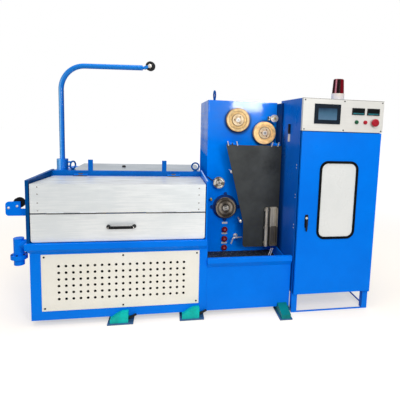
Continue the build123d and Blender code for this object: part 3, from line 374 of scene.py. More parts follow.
# Moulded open-mesh rubber: dull black with a net of paler ribs.
mat = start_material("open_mesh_rubber_mat", Roughness=0.7)
cells = add(mat.tree, "TexVoronoi", {"Vector": mat.coords, "Scale": 1000 / 17, "Randomness": 0.6})
ribs = mapped(cells.outputs["Distance"], 0.2, 0.5)
feed(mat.bsdf, Base_Color=blend(ribs, paint("#5a5f63"), paint("#0b0e12")))
print("materials so far:", len(bpy.data.materials))

# %% [markdown]
# Buttons, bezels and panes are moulded from plastic that is coloured all the way through. Its reds differ
# from part to part, and the pink on the caps of the take-up's buttons is a painted highlight.

# %% Plastics and rubber
# Moulded black plastic: deep, with a soft sheen. The bezel's is bluish.
black_plastic = coated("moulded_black_plastic", "#0c0d0e", "#141517", 0.45, 60, 2, 0.1, specular=0.12)
bezel_plastic = coated("moulded_bezel_plastic", "#0a1622", "#111e2b", 0.42, 80, 2, 0.1, specular=0.08)
# Moulded signal plastics: clear red and green on the panel, maroon on the take-up's buttons, and pink on
# their caps as a painted highlight.
red_plastic = coated("moulded_red_plastic", "#b80d28", "#9c0a20", 0.35, 40, 2, 0.05, specular=0.25)
maroon_red = coated("maroon_red_plastic", "#7a101e", "#5e0b16", 0.4, 30, 2, 0.05, specular=0.2)
cap_highlight_red = coated("highlight_red_plastic", "#b4585a", "#96403e", 0.3, 15, 2, 0.05)
green_plastic = coated("moulded_green_plastic", "#075a38", "#054a2e", 0.35, 40, 2, 0.05, specular=0.3)
# Moulded cream plastic: warm off-white, smooth, slightly yellowed.
cream_plastic = coated("moulded_cream_plastic", "#e6d9c6", "#dccdb8", 0.4, 60, 2, 0.1, specular=0.2)
# Extruded rubber: a black line that swallows light.
black_rubber = coated("black_rubber", "#07090b", "#0d0f11", 0.6, 50, 2, 0.15, specular=0.05)
# Frosted acrylic: a milky, even white with a faint gloss.
frosted_pane = coated("frosted_acrylic_pane", "#e3e5e4", "#dadddc", 0.28, 220, 9, 0.1, Coat_Weight=0.4)
# Display films and windows: near black until they catch light, over a teal strip.
meter_glass = coated("tinted_meter_window", "#080e10", "#0c1416", 0.12, 60, 40, 0.01, specular=0.1)
meter_teal = coated("teal_display_film", "#1c6f77", "#14565e", 0.2, 30, 20, 0.01, specular=0.3)

# Tinted lens of the beacon: upright bands of dark and clear red, and one pale streak that is a painted
# highlight.
lens = start_material("tinted_red_lens", Roughness=0.2, Specular_IOR_Level=0.06)
way = axes(vector("SUBTRACT", lens.coords, tuple(axis_of("beacon_dome"))))
angle = calc("ARCTAN2", way["X"], calc("MULTIPLY", way["Y"], -1.0))
lens_bands_and_highlight = [(0.0, "#4a0410"), (0.3, "#1c0205"), (0.34, "#b9747c"), (0.39, "#b9747c"), (0.43, "#1a0306"),
              (0.6, "#1c0a08"), (0.66, "#6d0414"), (1.0, "#7a0618")]
feed(lens.bsdf, Base_Color=banded(mapped(angle, -2.0, 1.14), lens_bands_and_highlight))
overpaint(lens, mapped(lens.normal["Z"], 0.3, 0.7), "#5e0612")
print("materials so far:", len(bpy.data.materials))

# %% [markdown]
# ## Sheet and turned metal
# Rolled and brushed sheet carries fine lines along one direction, which stretch its highlights. Turned
# parts carry rings about their axis. Both come from a pattern on Object coordinates: noise drawn out along
# one axis, or a sine of the distance from the pulley's axis.

# %% Brushed and turned surfaces


def brushed(name, colour, shade, rough, line_mm, length_mm, metallic=0.9, seam=None, seam_colour="#3c3e40",
            upright=False):
    """Brushed metal: noise that is line_mm wide and length_mm long, along X or along Z for upright parts,
    drives gloss, tone and a shallow bump. A seam is the (height, half width) in mm of a coloured band."""
    new = start_material(name, Metallic=metallic)
    sizes = (line_mm, line_mm, length_mm) if upright else (length_mm, line_mm, line_mm)
    lines = noise(stretched(new.coords, sizes), 1000, 4.0, 0.65)
    clouds = noise(new.coords, 350, 5.0, 0.6)
    drift = mapped(calc("MULTIPLY", lines, clouds), 0.17, 0.33)
    tone = blend(drift, paint(shade), paint(colour))
    if seam:
        near = calc("COMPARE", new.place["Z"], seam[0] * MM, seam[1] * MM)
        tone = blend(near, tone, paint(seam_colour))
    gloss = mapped(lines, 0.3, 0.7, rough - 0.07, rough + 0.09)
    feed(new.bsdf, Base_Color=tone, Roughness=gloss, Normal=bumped(lines, 0.12, 0.3))
    return new.material


def turned(name, wheel, bands, ring_mm, rough, metallic=0.9, fan=None):
    """Turned metal about the axis of a wheel's node: bands are (radius in mm, colour), tool marks are a sine
    of the radius with the pitch ring_mm, and noise soils tone and gloss. The marks run round the axis, so
    highlights spread across them into a bow tie. A fan is (count, turn, share) of dark wedges that paint a
    bow-tie reflection."""
    new = start_material(name, Metallic=metallic, Anisotropic=0.75)
    around = add(new.tree, "Tangent", direction_type="RADIAL", axis="Y").outputs["Tangent"]
    offset = vector("SUBTRACT", new.coords, tuple(axis_of(wheel)))
    radius = vector("LENGTH", vector("MULTIPLY", offset, across_face))
    reach = bands[-1][0]
    tone = banded(mapped(radius, 0.0, reach * MM), [(r / reach, text) for r, text in bands])
    grime = noise(new.coords, 22, 6.0, 0.7)
    tone = blend(mapped(grime, 0.4, 0.66, 0.0, 0.45), tone, paint("#5a4a34"))
    if fan:
        count, turn, share = fan
        way = axes(offset)
        wedges = calc("MULTIPLY_ADD", calc("ARCTAN2", way["X"], way["Z"]), count, turn)
        wave = calc("SINE", calc("MULTIPLY_ADD", grime, 3.0, wedges))
        tone = blend(mapped(wave, 0.0, 0.8, 0.0, share), tone, paint("#1f1a17"))
    gloss = mapped(grime, 0.0, 1.0, rough - 0.08, rough + 0.12)
    marks = calc("SINE", calc("MULTIPLY", radius, 2 * math.pi / (ring_mm * MM)))
    feed(new.bsdf, Base_Color=tone, Roughness=gloss, Normal=bumped(marks, 0.3, 0.3), Tangent=around)
    return new.material


# %% [markdown]
# The lid and flap are folded from brushed stainless sheet. Their hinge line is a dark seam, faint brownish
# patches of painted reflection lie on the sloping top, and the hinge knuckles that are part of the lid are
# brown rolled steel. Their hinge line is a dark seam, faint smudges are guessed on the sloping top, and
# the hinge knuckles that are part of the lid are brown rolled steel.

# %% Sheet metals
# Brushed stainless: pale and cool, with long soft lines that catch the lamps.
lid_sheet = brushed("brushed_stainless_lid", "#f0f4f6", "#e5ebee", 0.4, 9, 160, metallic=0.6, seam=(763, 4))
skin = opened(lid_sheet)
# Painted reflection: faint brownish patches on the upward faces of the sloping top.
top_reflection_patches = noise(stretched(skin.coords, (240, 60, 60)), 1000, 7.0, 0.65)
on_top = mapped(skin.normal["Z"], 0.5, 0.8)
overpaint(skin, calc("MULTIPLY", mapped(top_reflection_patches, 0.4, 0.68, 0.0, 0.5), on_top), "#a0968e")
knuckle_depth, knuckle_low = 26, 936.3
rear = calc("GREATER_THAN", skin.place["Y"], at(0, span("tank_lid")[1][1] - knuckle_depth, 0)[1])
raised = calc("GREATER_THAN", skin.place["Z"], knuckle_low * MM)
overpaint(skin, calc("MULTIPLY", rear, raised), "#4d443c")
# Satin stainless: a quiet warm grey for the panel, with the shadow line of its top fold.
panel_sheet = brushed("satin_stainless_panel", "#d7d6d1", "#cdccc8", 0.55, 5, 300, metallic=0.3,
                      seam=(1575, 2.2), seam_colour="#7f7e76")
# Ground plate and turned bar: grey steel with clear tool lines.
ground_steel = brushed("ground_steel_plate", "#d3dae0", "#b3bdc6", 0.35, 6, 200)
shaft_steel = brushed("turned_steel", "#b5b4b0", "#8f8e8b", 0.3, 3, 60)
# Polished steel: small, hard highlights.
polished = brushed("polished_steel", "#cfc9bf", "#a59d92", 0.2, 8, 120)
# Zinc plating: nearly white on small fittings. The guard's latch is duller, and its bracket darker.
bright_zinc = brushed("bright_zinc_plating", "#f0eeea", "#cfcac2", 0.3, 4, 20, metallic=0.45)
latch_zinc = brushed("dulled_zinc_plating", "#cfc6b2", "#756b5c", 0.45, 12, 300, metallic=0.3, upright=True)
skin = opened(latch_zinc)
bracket_left, grease_top, grease_share = at(1685, 0, 0)[0], 545 * MM, 0.8
bracket = calc("GREATER_THAN", skin.place["X"], bracket_left)
lower = calc("LESS_THAN", skin.place["Z"], grease_top)
greasy = calc("MULTIPLY", calc("MULTIPLY", bracket, lower), grease_share)
overpaint(skin, greasy, "#3f372e")
# Blackened iron and rolled hinge steel: dark dots and strips that hold a little light.
dark_iron = brushed("blackened_iron", "#2b2c2f", "#1c1d20", 0.45, 4, 30, metallic=0.7)
hinge_steel = brushed("rolled_hinge_steel", "#7d6f62", "#5a4f45", 0.45, 5, 40)
# Machined brass: one warm yellow point.
brass = brushed("machined_brass", "#b9a24a", "#8d7a2e", 0.3, 4, 20)
print("materials so far:", len(bpy.data.materials))

# %% [markdown]
# The wheels are turned on a lathe, so everything on them is a ring: a bright hub, a dark step, a golden
# coated flange. On the large wheels the dark step and the dark rim are painted shade. The two large ones are
# coated bronze, the capstan is bare bronze, and the small ones are aluminium.

# %% Turned wheels
# Coated bronze: dull gold with a pale hub, and a dark step and dark rim of painted shade. The lower wheel
# stands in shade, so its coat is mixed lighter as painted light, and the upper one's is darker as painted
# shade.
hub_bands = [(4, "#3f3a36"), (8, "#f1ece2"), (17, "#e9e2d6"), (20, "#b89a76"), (44, "#e2cba4"),
             (48, "#70512c")]
upper_shaded_bands = hub_bands + [(55, "#cfab70"), (88, "#d2b583"), (92, "#bc9862"), (95, "#5a3f20")]
lower_lit_bands = hub_bands + [(55, "#f6c884"), (88, "#fbd08c"), (92, "#e2b474"), (95, "#5a3f20")]
upper_gold = turned("ceramic_coated_bronze_upper", "tension_pulley_upper", upper_shaded_bands, 6, 0.36, 0.45)
lower_gold = turned("ceramic_coated_bronze_lower", "tension_pulley_lower", lower_lit_bands, 6, 0.36, 0.3)
# Bare turned bronze of the capstan: dark brown rings, and dark wedges of painted reflection that leave a bow
# tie of light. Bare turned bronze of the capstan: dark brown rings, and fitted dark wedges that leave a bow
# tie of light.
capstan_bands = [(5, "#3d3a37"), (10, "#c4c0b9"), (22, "#b5afa5"), (30, "#3f3a35"), (50, "#a99e8e"),
                 (60, "#4c433a"), (78, "#948878"), (84, "#6f665a")]
capstan_bronze = turned("turned_bronze", "final_capstan", capstan_bands, 5, 0.26, 0.6, fan=(2, 0.5, 0.75))
# Turned aluminium: white rings and grey grooves, bright even in shade. The outlet wheel's dark wedges are a
# painted reflection.
guide_bands = [(6, "#8a5a2a"), (9, "#f4f1ea"), (18, "#ece8e0"), (22, "#6a6258"), (26, "#efece6"),
               (29, "#c9c4bb")]
guide_metal = turned("turned_aluminium_guide", "guide_pulley", guide_bands, 4, 0.3, 0.1)
outlet_bands = [(7, "#54412f"), (10, "#efece6"), (18, "#d9d5ce"), (26, "#807970"), (34, "#efece6"),
                (47, "#8f8981")]
outlet_metal = turned("turned_aluminium_outlet", "outlet_pulley", outlet_bands, 4, 0.24, fan=(3, 1.0, 0.8))
print("materials so far:", len(bpy.data.materials))

# %% [markdown]
# ## Dress the CAD nodes
# Most of the machine is sheet and castings in the same blue enamel. The other nodes are named with their
# finish. The solids have sharp edges, and real sheet and castings don't, so a weld and a small bevel round
# those of the nodes listed in edge_mm, which gives each of their edges its thin highlight.

# %% Finishes of the nodes
finish_of = {
    "vent_panel": cream_coat, "takeup_housing": housing_enamel, "cabinet_sides": side_enamel,
    "tank_lid": lid_sheet, "tank_flap": lid_sheet, "control_panel": panel_sheet,
    "flap_handle": black_plastic, "drawing_cones": shaft_steel, "tank_left_wall": wall_enamel,
    "tank_right_wall": edge_enamel, "lifting_eyes": eye_enamel, "tank_rear_bar": bar_enamel,
    "gearbox_top_plate": ground_steel, "jib_pulley": dark_iron, "jib_arm": pipe_enamel,
    "jib_post": pipe_enamel, "entry_pulley": black_plastic, "mount_plates": mount_blue,
    "mount_wedges": mount_green, "tray_mat": mat.material, "tension_pulley_upper": upper_gold,
    "tension_pulley_lower": lower_gold, "guide_pulley": guide_metal, "outlet_pulley": outlet_metal,
    "final_capstan": capstan_bronze, "capstan_ring": ring_enamel, "takeup_cheek": inner_enamel,
    "pulley_shafts": shaft_steel, "takeup_guard": guard_sheet, "guard_latch": latch_zinc,
    "push_buttons": maroon_red, "spray_tap": bright_zinc, "touch_screen": bezel_plastic,
    "panel_meters": black_plastic, "start_button": green_plastic, "stop_buttons": red_plastic,
    "beacon_base": cream_plastic, "beacon_dome": lens.material, "door_window": frosted_pane,
    "window_gasket": black_rubber, "door_handle": polished,
}
edge_mm = {"takeup_housing": 4, "cabinet_sides": 2, "cabinet_door": 2.5, "control_panel": 1.5,
           "touch_screen": 2, "tank_front_rail": 2, "takeup_front": 2, "gearbox_top_plate": 3,
           "gearbox_housing": 3}
for name, node in nodes.items():
    node.data.materials.clear()
    node.data.materials.append(finish_of.get(name, blue_enamel))
for name, width in edge_mm.items():
    weld = nodes[name].modifiers.new("weld", "WELD")
    weld.merge_threshold = 0.01 * MM
    rounding = nodes[name].modifiers.new("rounded_edges", "BEVEL")
    rounding.width = width * MM
    rounding.segments = 2
    rounding.limit_method = "ANGLE"
    rounding.angle_limit = math.radians(50)
    rounding.harden_normals = True
print("dressed nodes:", len(nodes))

# %% [markdown]
# ## Fittings
# The fittings are surfaces computed as whole arrays of points. Each one is a grid: a profile turned about a
# line, a rounded box, or a circle carried along a path. One function turns grids into a closed mesh that
# rides on a body.

# %% A piece from its grids


def build(name, grids, body, finish):
    """Piece from point grids shaped (copies, rows, columns, 3): every cell of a grid is a face, seams and
    poles are welded shut and the faces turned outward."""
    grids = np.asarray(grids, dtype=float)
    grids = grids if grids.ndim == 4 else grids[None]
    index = np.arange(grids[..., 0].size).reshape(grids.shape[:3])
    faces = np.stack([index[:, :-1, :-1], index[:, :-1, 1:], index[:, 1:, 1:], index[:, 1:, :-1]], axis=-1)
    mesh = bpy.data.meshes.new(name)
    mesh.from_pydata(grids.reshape(-1, 3).tolist(), [], faces.reshape(-1, 4).tolist())
    shell = bmesh.new()
    shell.from_mesh(mesh)
    bmesh.ops.remove_doubles(shell, verts=shell.verts, dist=1e-6)
    bmesh.ops.recalc_face_normals(shell, faces=shell.faces)
    shell.to_mesh(mesh)
    shell.free()
    mesh.shade_smooth()
    mesh.set_sharp_from_angle(angle=math.radians(40))
    mesh.materials.append(finish)
    piece = bpy.data.objects.new(name, mesh)
    bpy.context.scene.collection.objects.link(piece)
    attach(piece, body)
    print(name, "faces:", len(mesh.polygons), "on", body)
    return piece


# %% [markdown]
# Screws, bolts and caps are profiles turned on a lathe. Plates and levers are boxes with worn corners, and
# rods are circles swept along a line. These three surfaces make every fitting.

# %% Turned, boxed and swept surfaces


def unit(vectors):
    """Vectors over their own length, along the last axis."""
    return vectors / np.linalg.norm(vectors, axis=-1, keepdims=True)


def lathe(places, axis, profile, sides=20):
    """Turned shape at each place: place + height * axis + radius * (cos t * across + sin t * upright), over
    the profile's (radius, height) pairs in mm and the angle t."""
    axis = unit(np.array(axis, dtype=float))
    across = unit(np.cross(axis, (0.31, 0.17, 0.94)))
    upright = np.cross(across, axis)
    angle = np.linspace(0, 2 * np.pi, sides + 1)[:, None]
    circle = np.cos(angle) * across + np.sin(angle) * upright
    radius, height = np.array(profile, dtype=float).T * MM
    shape = height[:, None, None] * axis + radius[:, None, None] * circle
    return np.array([at(*place) for place in places])[:, None, None, :] + shape


def rounded_box(low, high, power=0.2, rows=17, columns=33):
    """Rounded box between two corners in mm: a superellipsoid, centre + half size times the sphere's sines
    and cosines, each raised to a small power with its sign kept."""
    low, high = np.array(low, dtype=float), np.array(high, dtype=float)
    tilt = np.linspace(-np.pi / 2, np.pi / 2, rows)[:, None]
    turn = np.linspace(-np.pi, np.pi, columns)[None, :]
    level = np.cos(tilt) + 0 * turn
    narrowed = np.stack([level, level, np.ones_like(level)], axis=-1)
    around = np.stack([np.cos(turn) + 0 * tilt, np.sin(turn) + 0 * tilt, np.sin(tilt) + 0 * turn], axis=-1)
    shape = np.abs(narrowed) ** power * np.sign(around) * np.abs(around) ** power
    return at(*((low + high) / 2)) + shape * (high - low) / 2 * MM


def tube(path, radius, sides=14):
    """Circle carried along a path of points in mm: point + radius * (cos t * side + sin t * up), with side
    and up square to the path's direction, and both ends drawn in to a point."""
    path = np.array([at(*point) for point in path])
    direction = unit(np.gradient(path, axis=0))
    side = unit(np.cross(direction, (0.11, 0.27, 0.96)))
    up = np.cross(side, direction)
    rows = np.r_[0, 0:len(path), len(path) - 1]
    reach = np.r_[0, np.full(len(path), radius * MM), 0][:, None, None]
    angle = np.linspace(0, 2 * np.pi, sides + 1)[None, :, None]
    return path[rows, None] + reach * (np.cos(angle) * side[rows, None] + np.sin(angle) * up[rows, None])


def line(start, end, count=6):
    """Points on a straight run: start plus a share of the way to end."""
    start, end = np.array(start, dtype=float), np.array(end, dtype=float)
    return start + np.linspace(0, 1, count)[:, None] * (end - start)


def ring_of(centre, radius, count, y):
    """Places on a circle about a line along Y: centre plus radius times cosine and sine."""
    angle = 2 * np.pi * (np.arange(count) + 0.5) / count
    return np.stack([centre[0] + radius * np.cos(angle), np.full(count, y),
                     centre[1] + radius * np.sin(angle)], axis=-1)


def pan_head(radius):
    """Profile of a pan-head screw, sunk by 0.5 mm: a short wall, a rounded shoulder and a flat crown."""
    return [(0, -0.5), (radius, -0.5), (radius, 1.0), (radius * 0.8, 2.0), (radius * 0.4, 2.4), (0, 2.4)]


front, left_way, upward, rearward = (0, -1, 0), (-1, 0, 0), (0, 0, 1), (0, 1, 0)

# %% [markdown]
# ## Screws and bolts
# Sheet panels are held by screws that are one pixel wide in the photograph, yet their rows are what makes a
# panel look bolted on. Each row is a single piece, with one turned profile copied to all its places.

# %% Rows of screws
lid_screws = [(55, 0, z) for z in (938, 892, 834, 784)] + [(1082, 0, z) for z in (930, 884, 828, 784)]
build("lid_screws", lathe(lid_screws, front, pan_head(4.5)), "lid", shaft_steel)


def panel_places(low, high, inset, low_inset):
    """Screw places on a panel's front: left, middle and right, at its lower and upper edge."""
    columns = (low[0] + inset, (low[0] + high[0]) / 2, high[0] - inset)
    return [(x, low[1], z) for x in columns for z in (low[2] + low_inset, high[2] - inset)]


vent_screws = panel_places(vent_low, vent_high, 18, 18)
build("vent_screws", lathe(vent_screws, front, pan_head(6.5)), "machine", dark_iron)
# Painted shade: a black felt behind the vent's holes stands in for the shade inside the base.
land, felt_front, felt_back = 31, 1, 5
felt = rounded_box((vent_low[0] + land, felt_front, vent_low[2] + land),
                   (vent_high[0] - land, felt_back, vent_high[2] - land), 0.05)
build("vent_shade_felt", felt, "machine", black_rubber)
panel_screws = panel_places(*span("control_panel"), 13, 30)
build("panel_screws", lathe(panel_screws, front, pan_head(5)), "machine", dark_iron)
side_x = span("cabinet_sides")[0][0]
side_rows = ((14, 1100), (14, 1078), (12, 884), (12, 862), (15, 659), (15, 637))
side_screws = [(side_x, y, z) for y, z in side_rows]
build("side_screws", lathe(side_screws, left_way, pan_head(5)), "machine", bright_zinc)
entry_front = 96
hex_head = [(0, -0.5), (8, -0.5), (8, 6), (6.5, 7), (0, 7)]
entry_bolts = [(-149, entry_front, 783), (-97, entry_front, 794)]
build("entry_bolts", lathe(entry_bolts, front, hex_head, 6), "machine", bright_zinc)
plug_place = (488, 839, span("gearbox_top_plate")[1][2])
filler_plug = [(0, -0.5), (16, -0.5), (16, 8), (12, 14), (0, 16)]
build("plate_plug", lathe([plug_place], upward, filler_plug, 6), "machine", dark_iron)

# %% [markdown]
# ## Fittings of the take-up
# The large wheels are held by rings of three screws. The dark guard has bright lugs at its top and rests on
# two studs. A brass spray nozzle wets the capstan.

# %% Wheel screws, guard lugs and nozzle
wheel_at = {"upper": (1422, 1408), "lower": (1649, 1309), "guide": (1729, 1432), "outlet": (1280, 890),
            "capstan": (1343, 677)}
wheel_face = span("tension_pulley_upper")[0][1]
screw_circle = 30
for name in ("upper", "lower"):
    screws = lathe(ring_of(wheel_at[name], screw_circle, 3, wheel_face), front, pan_head(5))
    build(name + "_wheel_screws", screws, name + "_wheel", dark_iron)
housing_face = span("takeup_housing")[0][1]
guard_front = span("takeup_guard")[0][1]
lugs = [tube(line((x, guard_front - 2, 1204), (x + lean, guard_front - 6, 1240)), 4)
        for x, lean in ((1334, -8), (1408, -10), (1684, 10), (1737, 8))]
build("guard_lugs", lugs, "guard", bright_zinc)
stud = [(0, 0), (6, 0), (6, 118), (13, 120), (13, 130), (9, 133), (0, 133)]
rests = lathe([(1372, housing_face, 992), (1458, housing_face, 582)], front, stud)
build("guard_rests", rests, "machine", bright_zinc)
nozzle = [(0, 0), (11, 0), (11, 9), (7, 11), (7, 26), (10, 28), (10, 38), (4, 44), (0, 44)]
build("spray_nozzle", lathe([(1222, housing_face, 742)], front, nozzle), "machine", brass)

# %% [markdown]
# Each shaft was turned between centres, which leaves a small dark hole in its end. The guide's shaft has a
# brass cap instead. The shafts are one CAD node, so the points near each wheel's axis tell where its end
# lies.

# %% Shaft ends
shaft_points = np.empty(len(nodes["pulley_shafts"].data.vertices) * 3)
nodes["pulley_shafts"].data.vertices.foreach_get("co", shaft_points)
shaft_points = (shaft_points.reshape(-1, 3) - at(0, 0, 0)) / MM
shaft_reach = 40
shaft_end = {}
for name, (x, z) in wheel_at.items():
    near = np.hypot(shaft_points[:, 0] - x, shaft_points[:, 2] - z) < shaft_reach
    shaft_end[name] = (x, shaft_points[near, 1].min(), z)
print("shaft ends in mm:", {name: round(float(end[1]), 1) for name, end in shaft_end.items()})
centre_hole = [(0, -0.3), (5, -0.3), (5, 0.6), (0, 0.6)]
drilled = [end for name, end in shaft_end.items() if name != "guide"]
build("shaft_centres", lathe(drilled, front, centre_hole), "machine", dark_iron)
guide_cap = [(0, -0.3), (8, -0.3), (8, 1.0), (6, 2.0), (0, 2.4)]
build("guide_cap", lathe([shaft_end["guide"]], front, guide_cap), "machine", brass)

# %% [markdown]
# Caps sit in the push buttons, under bare steel plates, and their pink is a painted highlight. A small iron
# stay stands by the guide wheel, a bright keeper catches the guard's latch, and a thin rod leads the wire to
# the outlet wheel.

# %% Buttons, stay and keeper
button_x, button_front = 1345, span("push_buttons")[0][1]
button_places = [(button_x, button_front, z) for z in (482, 401, 324)]
thumb_cap = [(0, -0.5), (9, -0.5), (9, 0.8), (6, 1.6), (0, 1.6)]
# The caps' pink is a painted highlight on each button.
build("button_caps", lathe(button_places, front, thumb_cap), "machine", cap_highlight_red)
stay_x, stay_z, stay_front = 1694, 1434, housing_face - 34
stay = rounded_box((stay_x - 13, stay_front, stay_z - 22), (stay_x + 9, housing_face + 0.5, stay_z + 14), 0.3)
build("guide_stay", stay, "machine", dark_iron)
stay_screws = [(stay_x - 2, stay_front, stay_z + 6), (stay_x - 5, stay_front, stay_z - 14)]
build("stay_screws", lathe(stay_screws, front, pan_head(6)), "machine", bright_zinc)
keeper_y = 350
legs = [tube(line((x, keeper_y, 366), (x - 23, keeper_y - 6, 306)), 4) for x in (1714, 1729)]
build("latch_keeper", legs, "machine", bright_zinc)
guide_rod = tube(line((1186, housing_face - 8, 934), (1232, housing_face - 22, 902)), 4)
build("outlet_guide_rod", guide_rod, "machine", dark_iron)
plates = [rounded_box((button_x - 23, housing_face - 2.5, z - 8), (button_x + 23, housing_face + 0.3, z + 8))
          for z in (536, 445, 362)]
build("button_plates", plates, "machine", panel_sheet)

# %% [markdown]
# ## Control panel
# The screen is a sheet of glass in a dark bezel, and each meter a tinted window over a lit strip. They are
# thin rounded boxes that stand a fraction of a millimetre proud, as real bezels do.

# %% Screen and meters
# Coated display glass: dark at the top and slate blue below, a reflection fitted as colour.
glass_low, glass_high = (1890, 1429), (2028, 1511)
glass = start_material("coated_display_glass", Roughness=0.15, Specular_IOR_Level=0.15)
drift = mapped(noise(glass.coords, 40, 3.0), 0.0, 1.0, -12 * MM, 12 * MM)
level = calc("ADD", glass.place["Z"], drift)
share = mapped(level, glass_low[1] * MM, glass_high[1] * MM)
feed(glass.bsdf, Base_Color=banded(share, [(0.0, "#537490"), (0.55, "#3f647f"), (1.0, "#18324a")]))


def pane(low, high, face, power):
    """Thin rounded box between (x, z) corners in mm, 0.8 mm proud of a face and 1 mm into it."""
    return rounded_box((low[0], face - 0.8, low[1]), (high[0], face + 1, high[1]), power)


screen_pane = pane(glass_low, glass_high, span("touch_screen")[0][1], 0.08)
build("screen_glass", screen_pane, "machine", glass.material)
meter_front = span("panel_meters")[0][1]
meter_lefts = (2143, 2259)
windows = [pane((left + 7, 1487), (left + 89, 1514), meter_front, 0.1) for left in meter_lefts]
strips = [pane((left + 7, 1477), (left + 89, 1486), meter_front, 0.1) for left in meter_lefts]
build("meter_windows", windows, "machine", meter_glass)
build("meter_strips", strips, "machine", meter_teal)

# %% [markdown]
# ## Handles and locks
# The flap has a black bow handle with a round pad and a bright screw plug at each end. A bow is a power
# curve: the ends stand straight up, and the middle is flat.

# %% Handle of the flap
handle_low, handle_high = span("flap_handle")
handle_x, handle_z = (handle_low[0] + handle_high[0]) / 2, (handle_low[2] + handle_high[2]) / 2
bow_radius, bow_margin, bow_points = 10, 9, 41
bow_half = (handle_high[0] - handle_low[0]) / 2 - bow_margin
bow_rise = handle_high[1] - handle_low[1] - bow_margin
sweep = np.linspace(0, np.pi, bow_points)
bow = np.stack([handle_x - bow_half * np.sign(np.cos(sweep)) * np.abs(np.cos(sweep)) ** 0.3,
                -bow_rise * np.sin(sweep) ** 0.45 + handle_high[1],
                np.full(bow_points, handle_z)], axis=-1)
handle = build("flap_bow", tube(bow, bow_radius), "flap", black_plastic)
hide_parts("flap_handle")
pads = [(x, 0, handle_z) for x in (handle_low[0] + bow_radius, handle_high[0] - bow_radius)]
pad = [(0, -0.5), (13, -0.5), (13, 4), (10, 7), (0, 7)]
build("bow_pads", lathe(pads, front, pad), "flap", black_plastic)
bow_end, plug_depth = bow[8], 9.5
bow_screws = [(x, bow_end[1] - plug_depth, handle_z) for x in (bow_end[0], 2 * handle_x - bow_end[0])]
screw_plug = [(0, -5), (5, -5), (5, 0.8), (4, 1.6), (0, 1.8)]
build("bow_screws", lathe(bow_screws, front, screw_plug), "flap", bright_zinc)

# %% [markdown]
# The door lock is a dark iron lever on a slim black plate, with a bright lock barrel above it. The left
# side has a flat lock and a cream pull of its own. All of them are pressed or cast, so their corners are
# round.

# %% Locks of the cabinet
lock_low, lock_high = span("door_handle")
door_front, lock_x = lock_high[1], (lock_low[0] + lock_high[0]) / 2
plate = rounded_box((lock_x - 13, door_front - 5, 655), (lock_x + 13, door_front + 0.5, 752), 0.35)
lock_plate = build("lock_plate", plate, "door", black_plastic)
lever = rounded_box((lock_x - 6, door_front - 22, 632), (lock_x + 6, door_front - 4, 716), 0.45)
build("lock_lever", lever, "door", dark_iron)
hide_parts("door_handle")
barrel = lathe([(lock_x, door_front - 5, 727)], front, [(0, -1), (9, -1), (9, 3), (7, 5), (0, 5)])
build("lock_barrel", barrel, "door", bright_zinc)
side_lock = rounded_box((side_x - 14, 196, 1316), (side_x + 0.5, 222, 1392), 0.25)
build("side_lock", side_lock, "machine", black_plastic)
side_pull = rounded_box((side_x - 11, 197, 1256), (side_x + 0.5, 221, 1314), 0.25)
build("side_pull", side_pull, "machine", cream_plastic)

# %% [markdown]
# ## Hinges of the lid and bolts of the mounts
# The lid hangs on two steel butt hinges, whose leaves lie on its sloping top. Black bolts at the side drive
# two of the levelling wedges.

# %% Hinges and mount bolts
lid_rear = span("tank_lid")[1][1]
hinge_places, leaf_half, leaf_rear = (204, 912), 49, lid_rear - 20
leaves = [rounded_box((x - leaf_half, leaf_rear - 26, 935.5), (x + leaf_half, leaf_rear, 938.5), 0.12)
          for x in hinge_places]
build("lid_hinge_leaves", leaves, "lid", hinge_steel)
hinge_barrel = [(0, -0.5), (8.6, -0.5), (8.6, 98.5), (0, 98.5)]
barrels = lathe([(x - leaf_half, lid_rear - 8, 943) for x in hinge_places], (1, 0, 0), hinge_barrel)
build("lid_hinge_barrels", barrels, "lid", blue_enamel)
bolts = [tube(line((x, -20, 30), (x + 52, -24, 58)), 8) for x in (616, 1098)]
build("mount_bolts", bolts, "machine", dark_iron)

# %% [markdown]
# ## Jib wheel, drain and plain sides
# The pin of the jib wheel ends in a bright cap on each side of its fork. Bolts hold the drain's flange
# together, and the sheets at the back are held by plain rows of screws.

# %% Jib caps, drain bolts and back screws
jib_turn = math.radians(-13)
wheel_middle = np.mean(span("jib_pulley"), axis=0)
fork_half = 14.5
pin_cap = [(0, -0.5), (15, -0.5), (15, 3), (11, 6), (0, 6)]
pin_way = np.array([-math.sin(jib_turn), math.cos(jib_turn), 0.0])
caps = [lathe([wheel_middle + fork_half * way], way, pin_cap)[0] for way in (-pin_way, pin_way)]
build("jib_caps", caps, "jib", bright_zinc)
drain_x, drain_y, flange_top, bolt_circle = -97, 100, 465, 43
turns = 2 * np.pi * (np.arange(6) + 0.5) / 6
drain_bolts = np.stack([drain_x + bolt_circle * np.cos(turns), drain_y + bolt_circle * np.sin(turns),
                        np.full(6, flange_top)], axis=-1)
drain_head = [(0, -0.5), (6, -0.5), (6, 5), (5, 6), (0, 6)]
build("drain_bolts", lathe(drain_bolts, upward, drain_head, 6), "machine", dark_iron)
tank_back_y, takeup_back_y, cabinet_back_y = 1140, span("back_panels")[1][1], span("cabinet_back")[1][1]
back_screws = [(x, tank_back_y, z) for x in (24, 390, 760, 1120) for z in (80, 530)]
back_screws += [(x, takeup_back_y, z) for x in (1176, 1460, 1744) for z in (80, 260)]
back_screws += [(x, cabinet_back_y, z) for x in (1800, 2084, 2368) for z in (170, 860, 1550)]
build("back_screws", lathe(back_screws, rearward, pan_head(6)), "machine", dark_iron)

# %% [markdown]
# ## Floor and light
# The studio is a pale floor under a white sky. The sky is full white to the camera, half as bright in
# mirrored rays, and dimmer still as a source of light, so that paint renders about as it is written. The
# floor fades to the same white in the distance and keeps the machine's shadow.

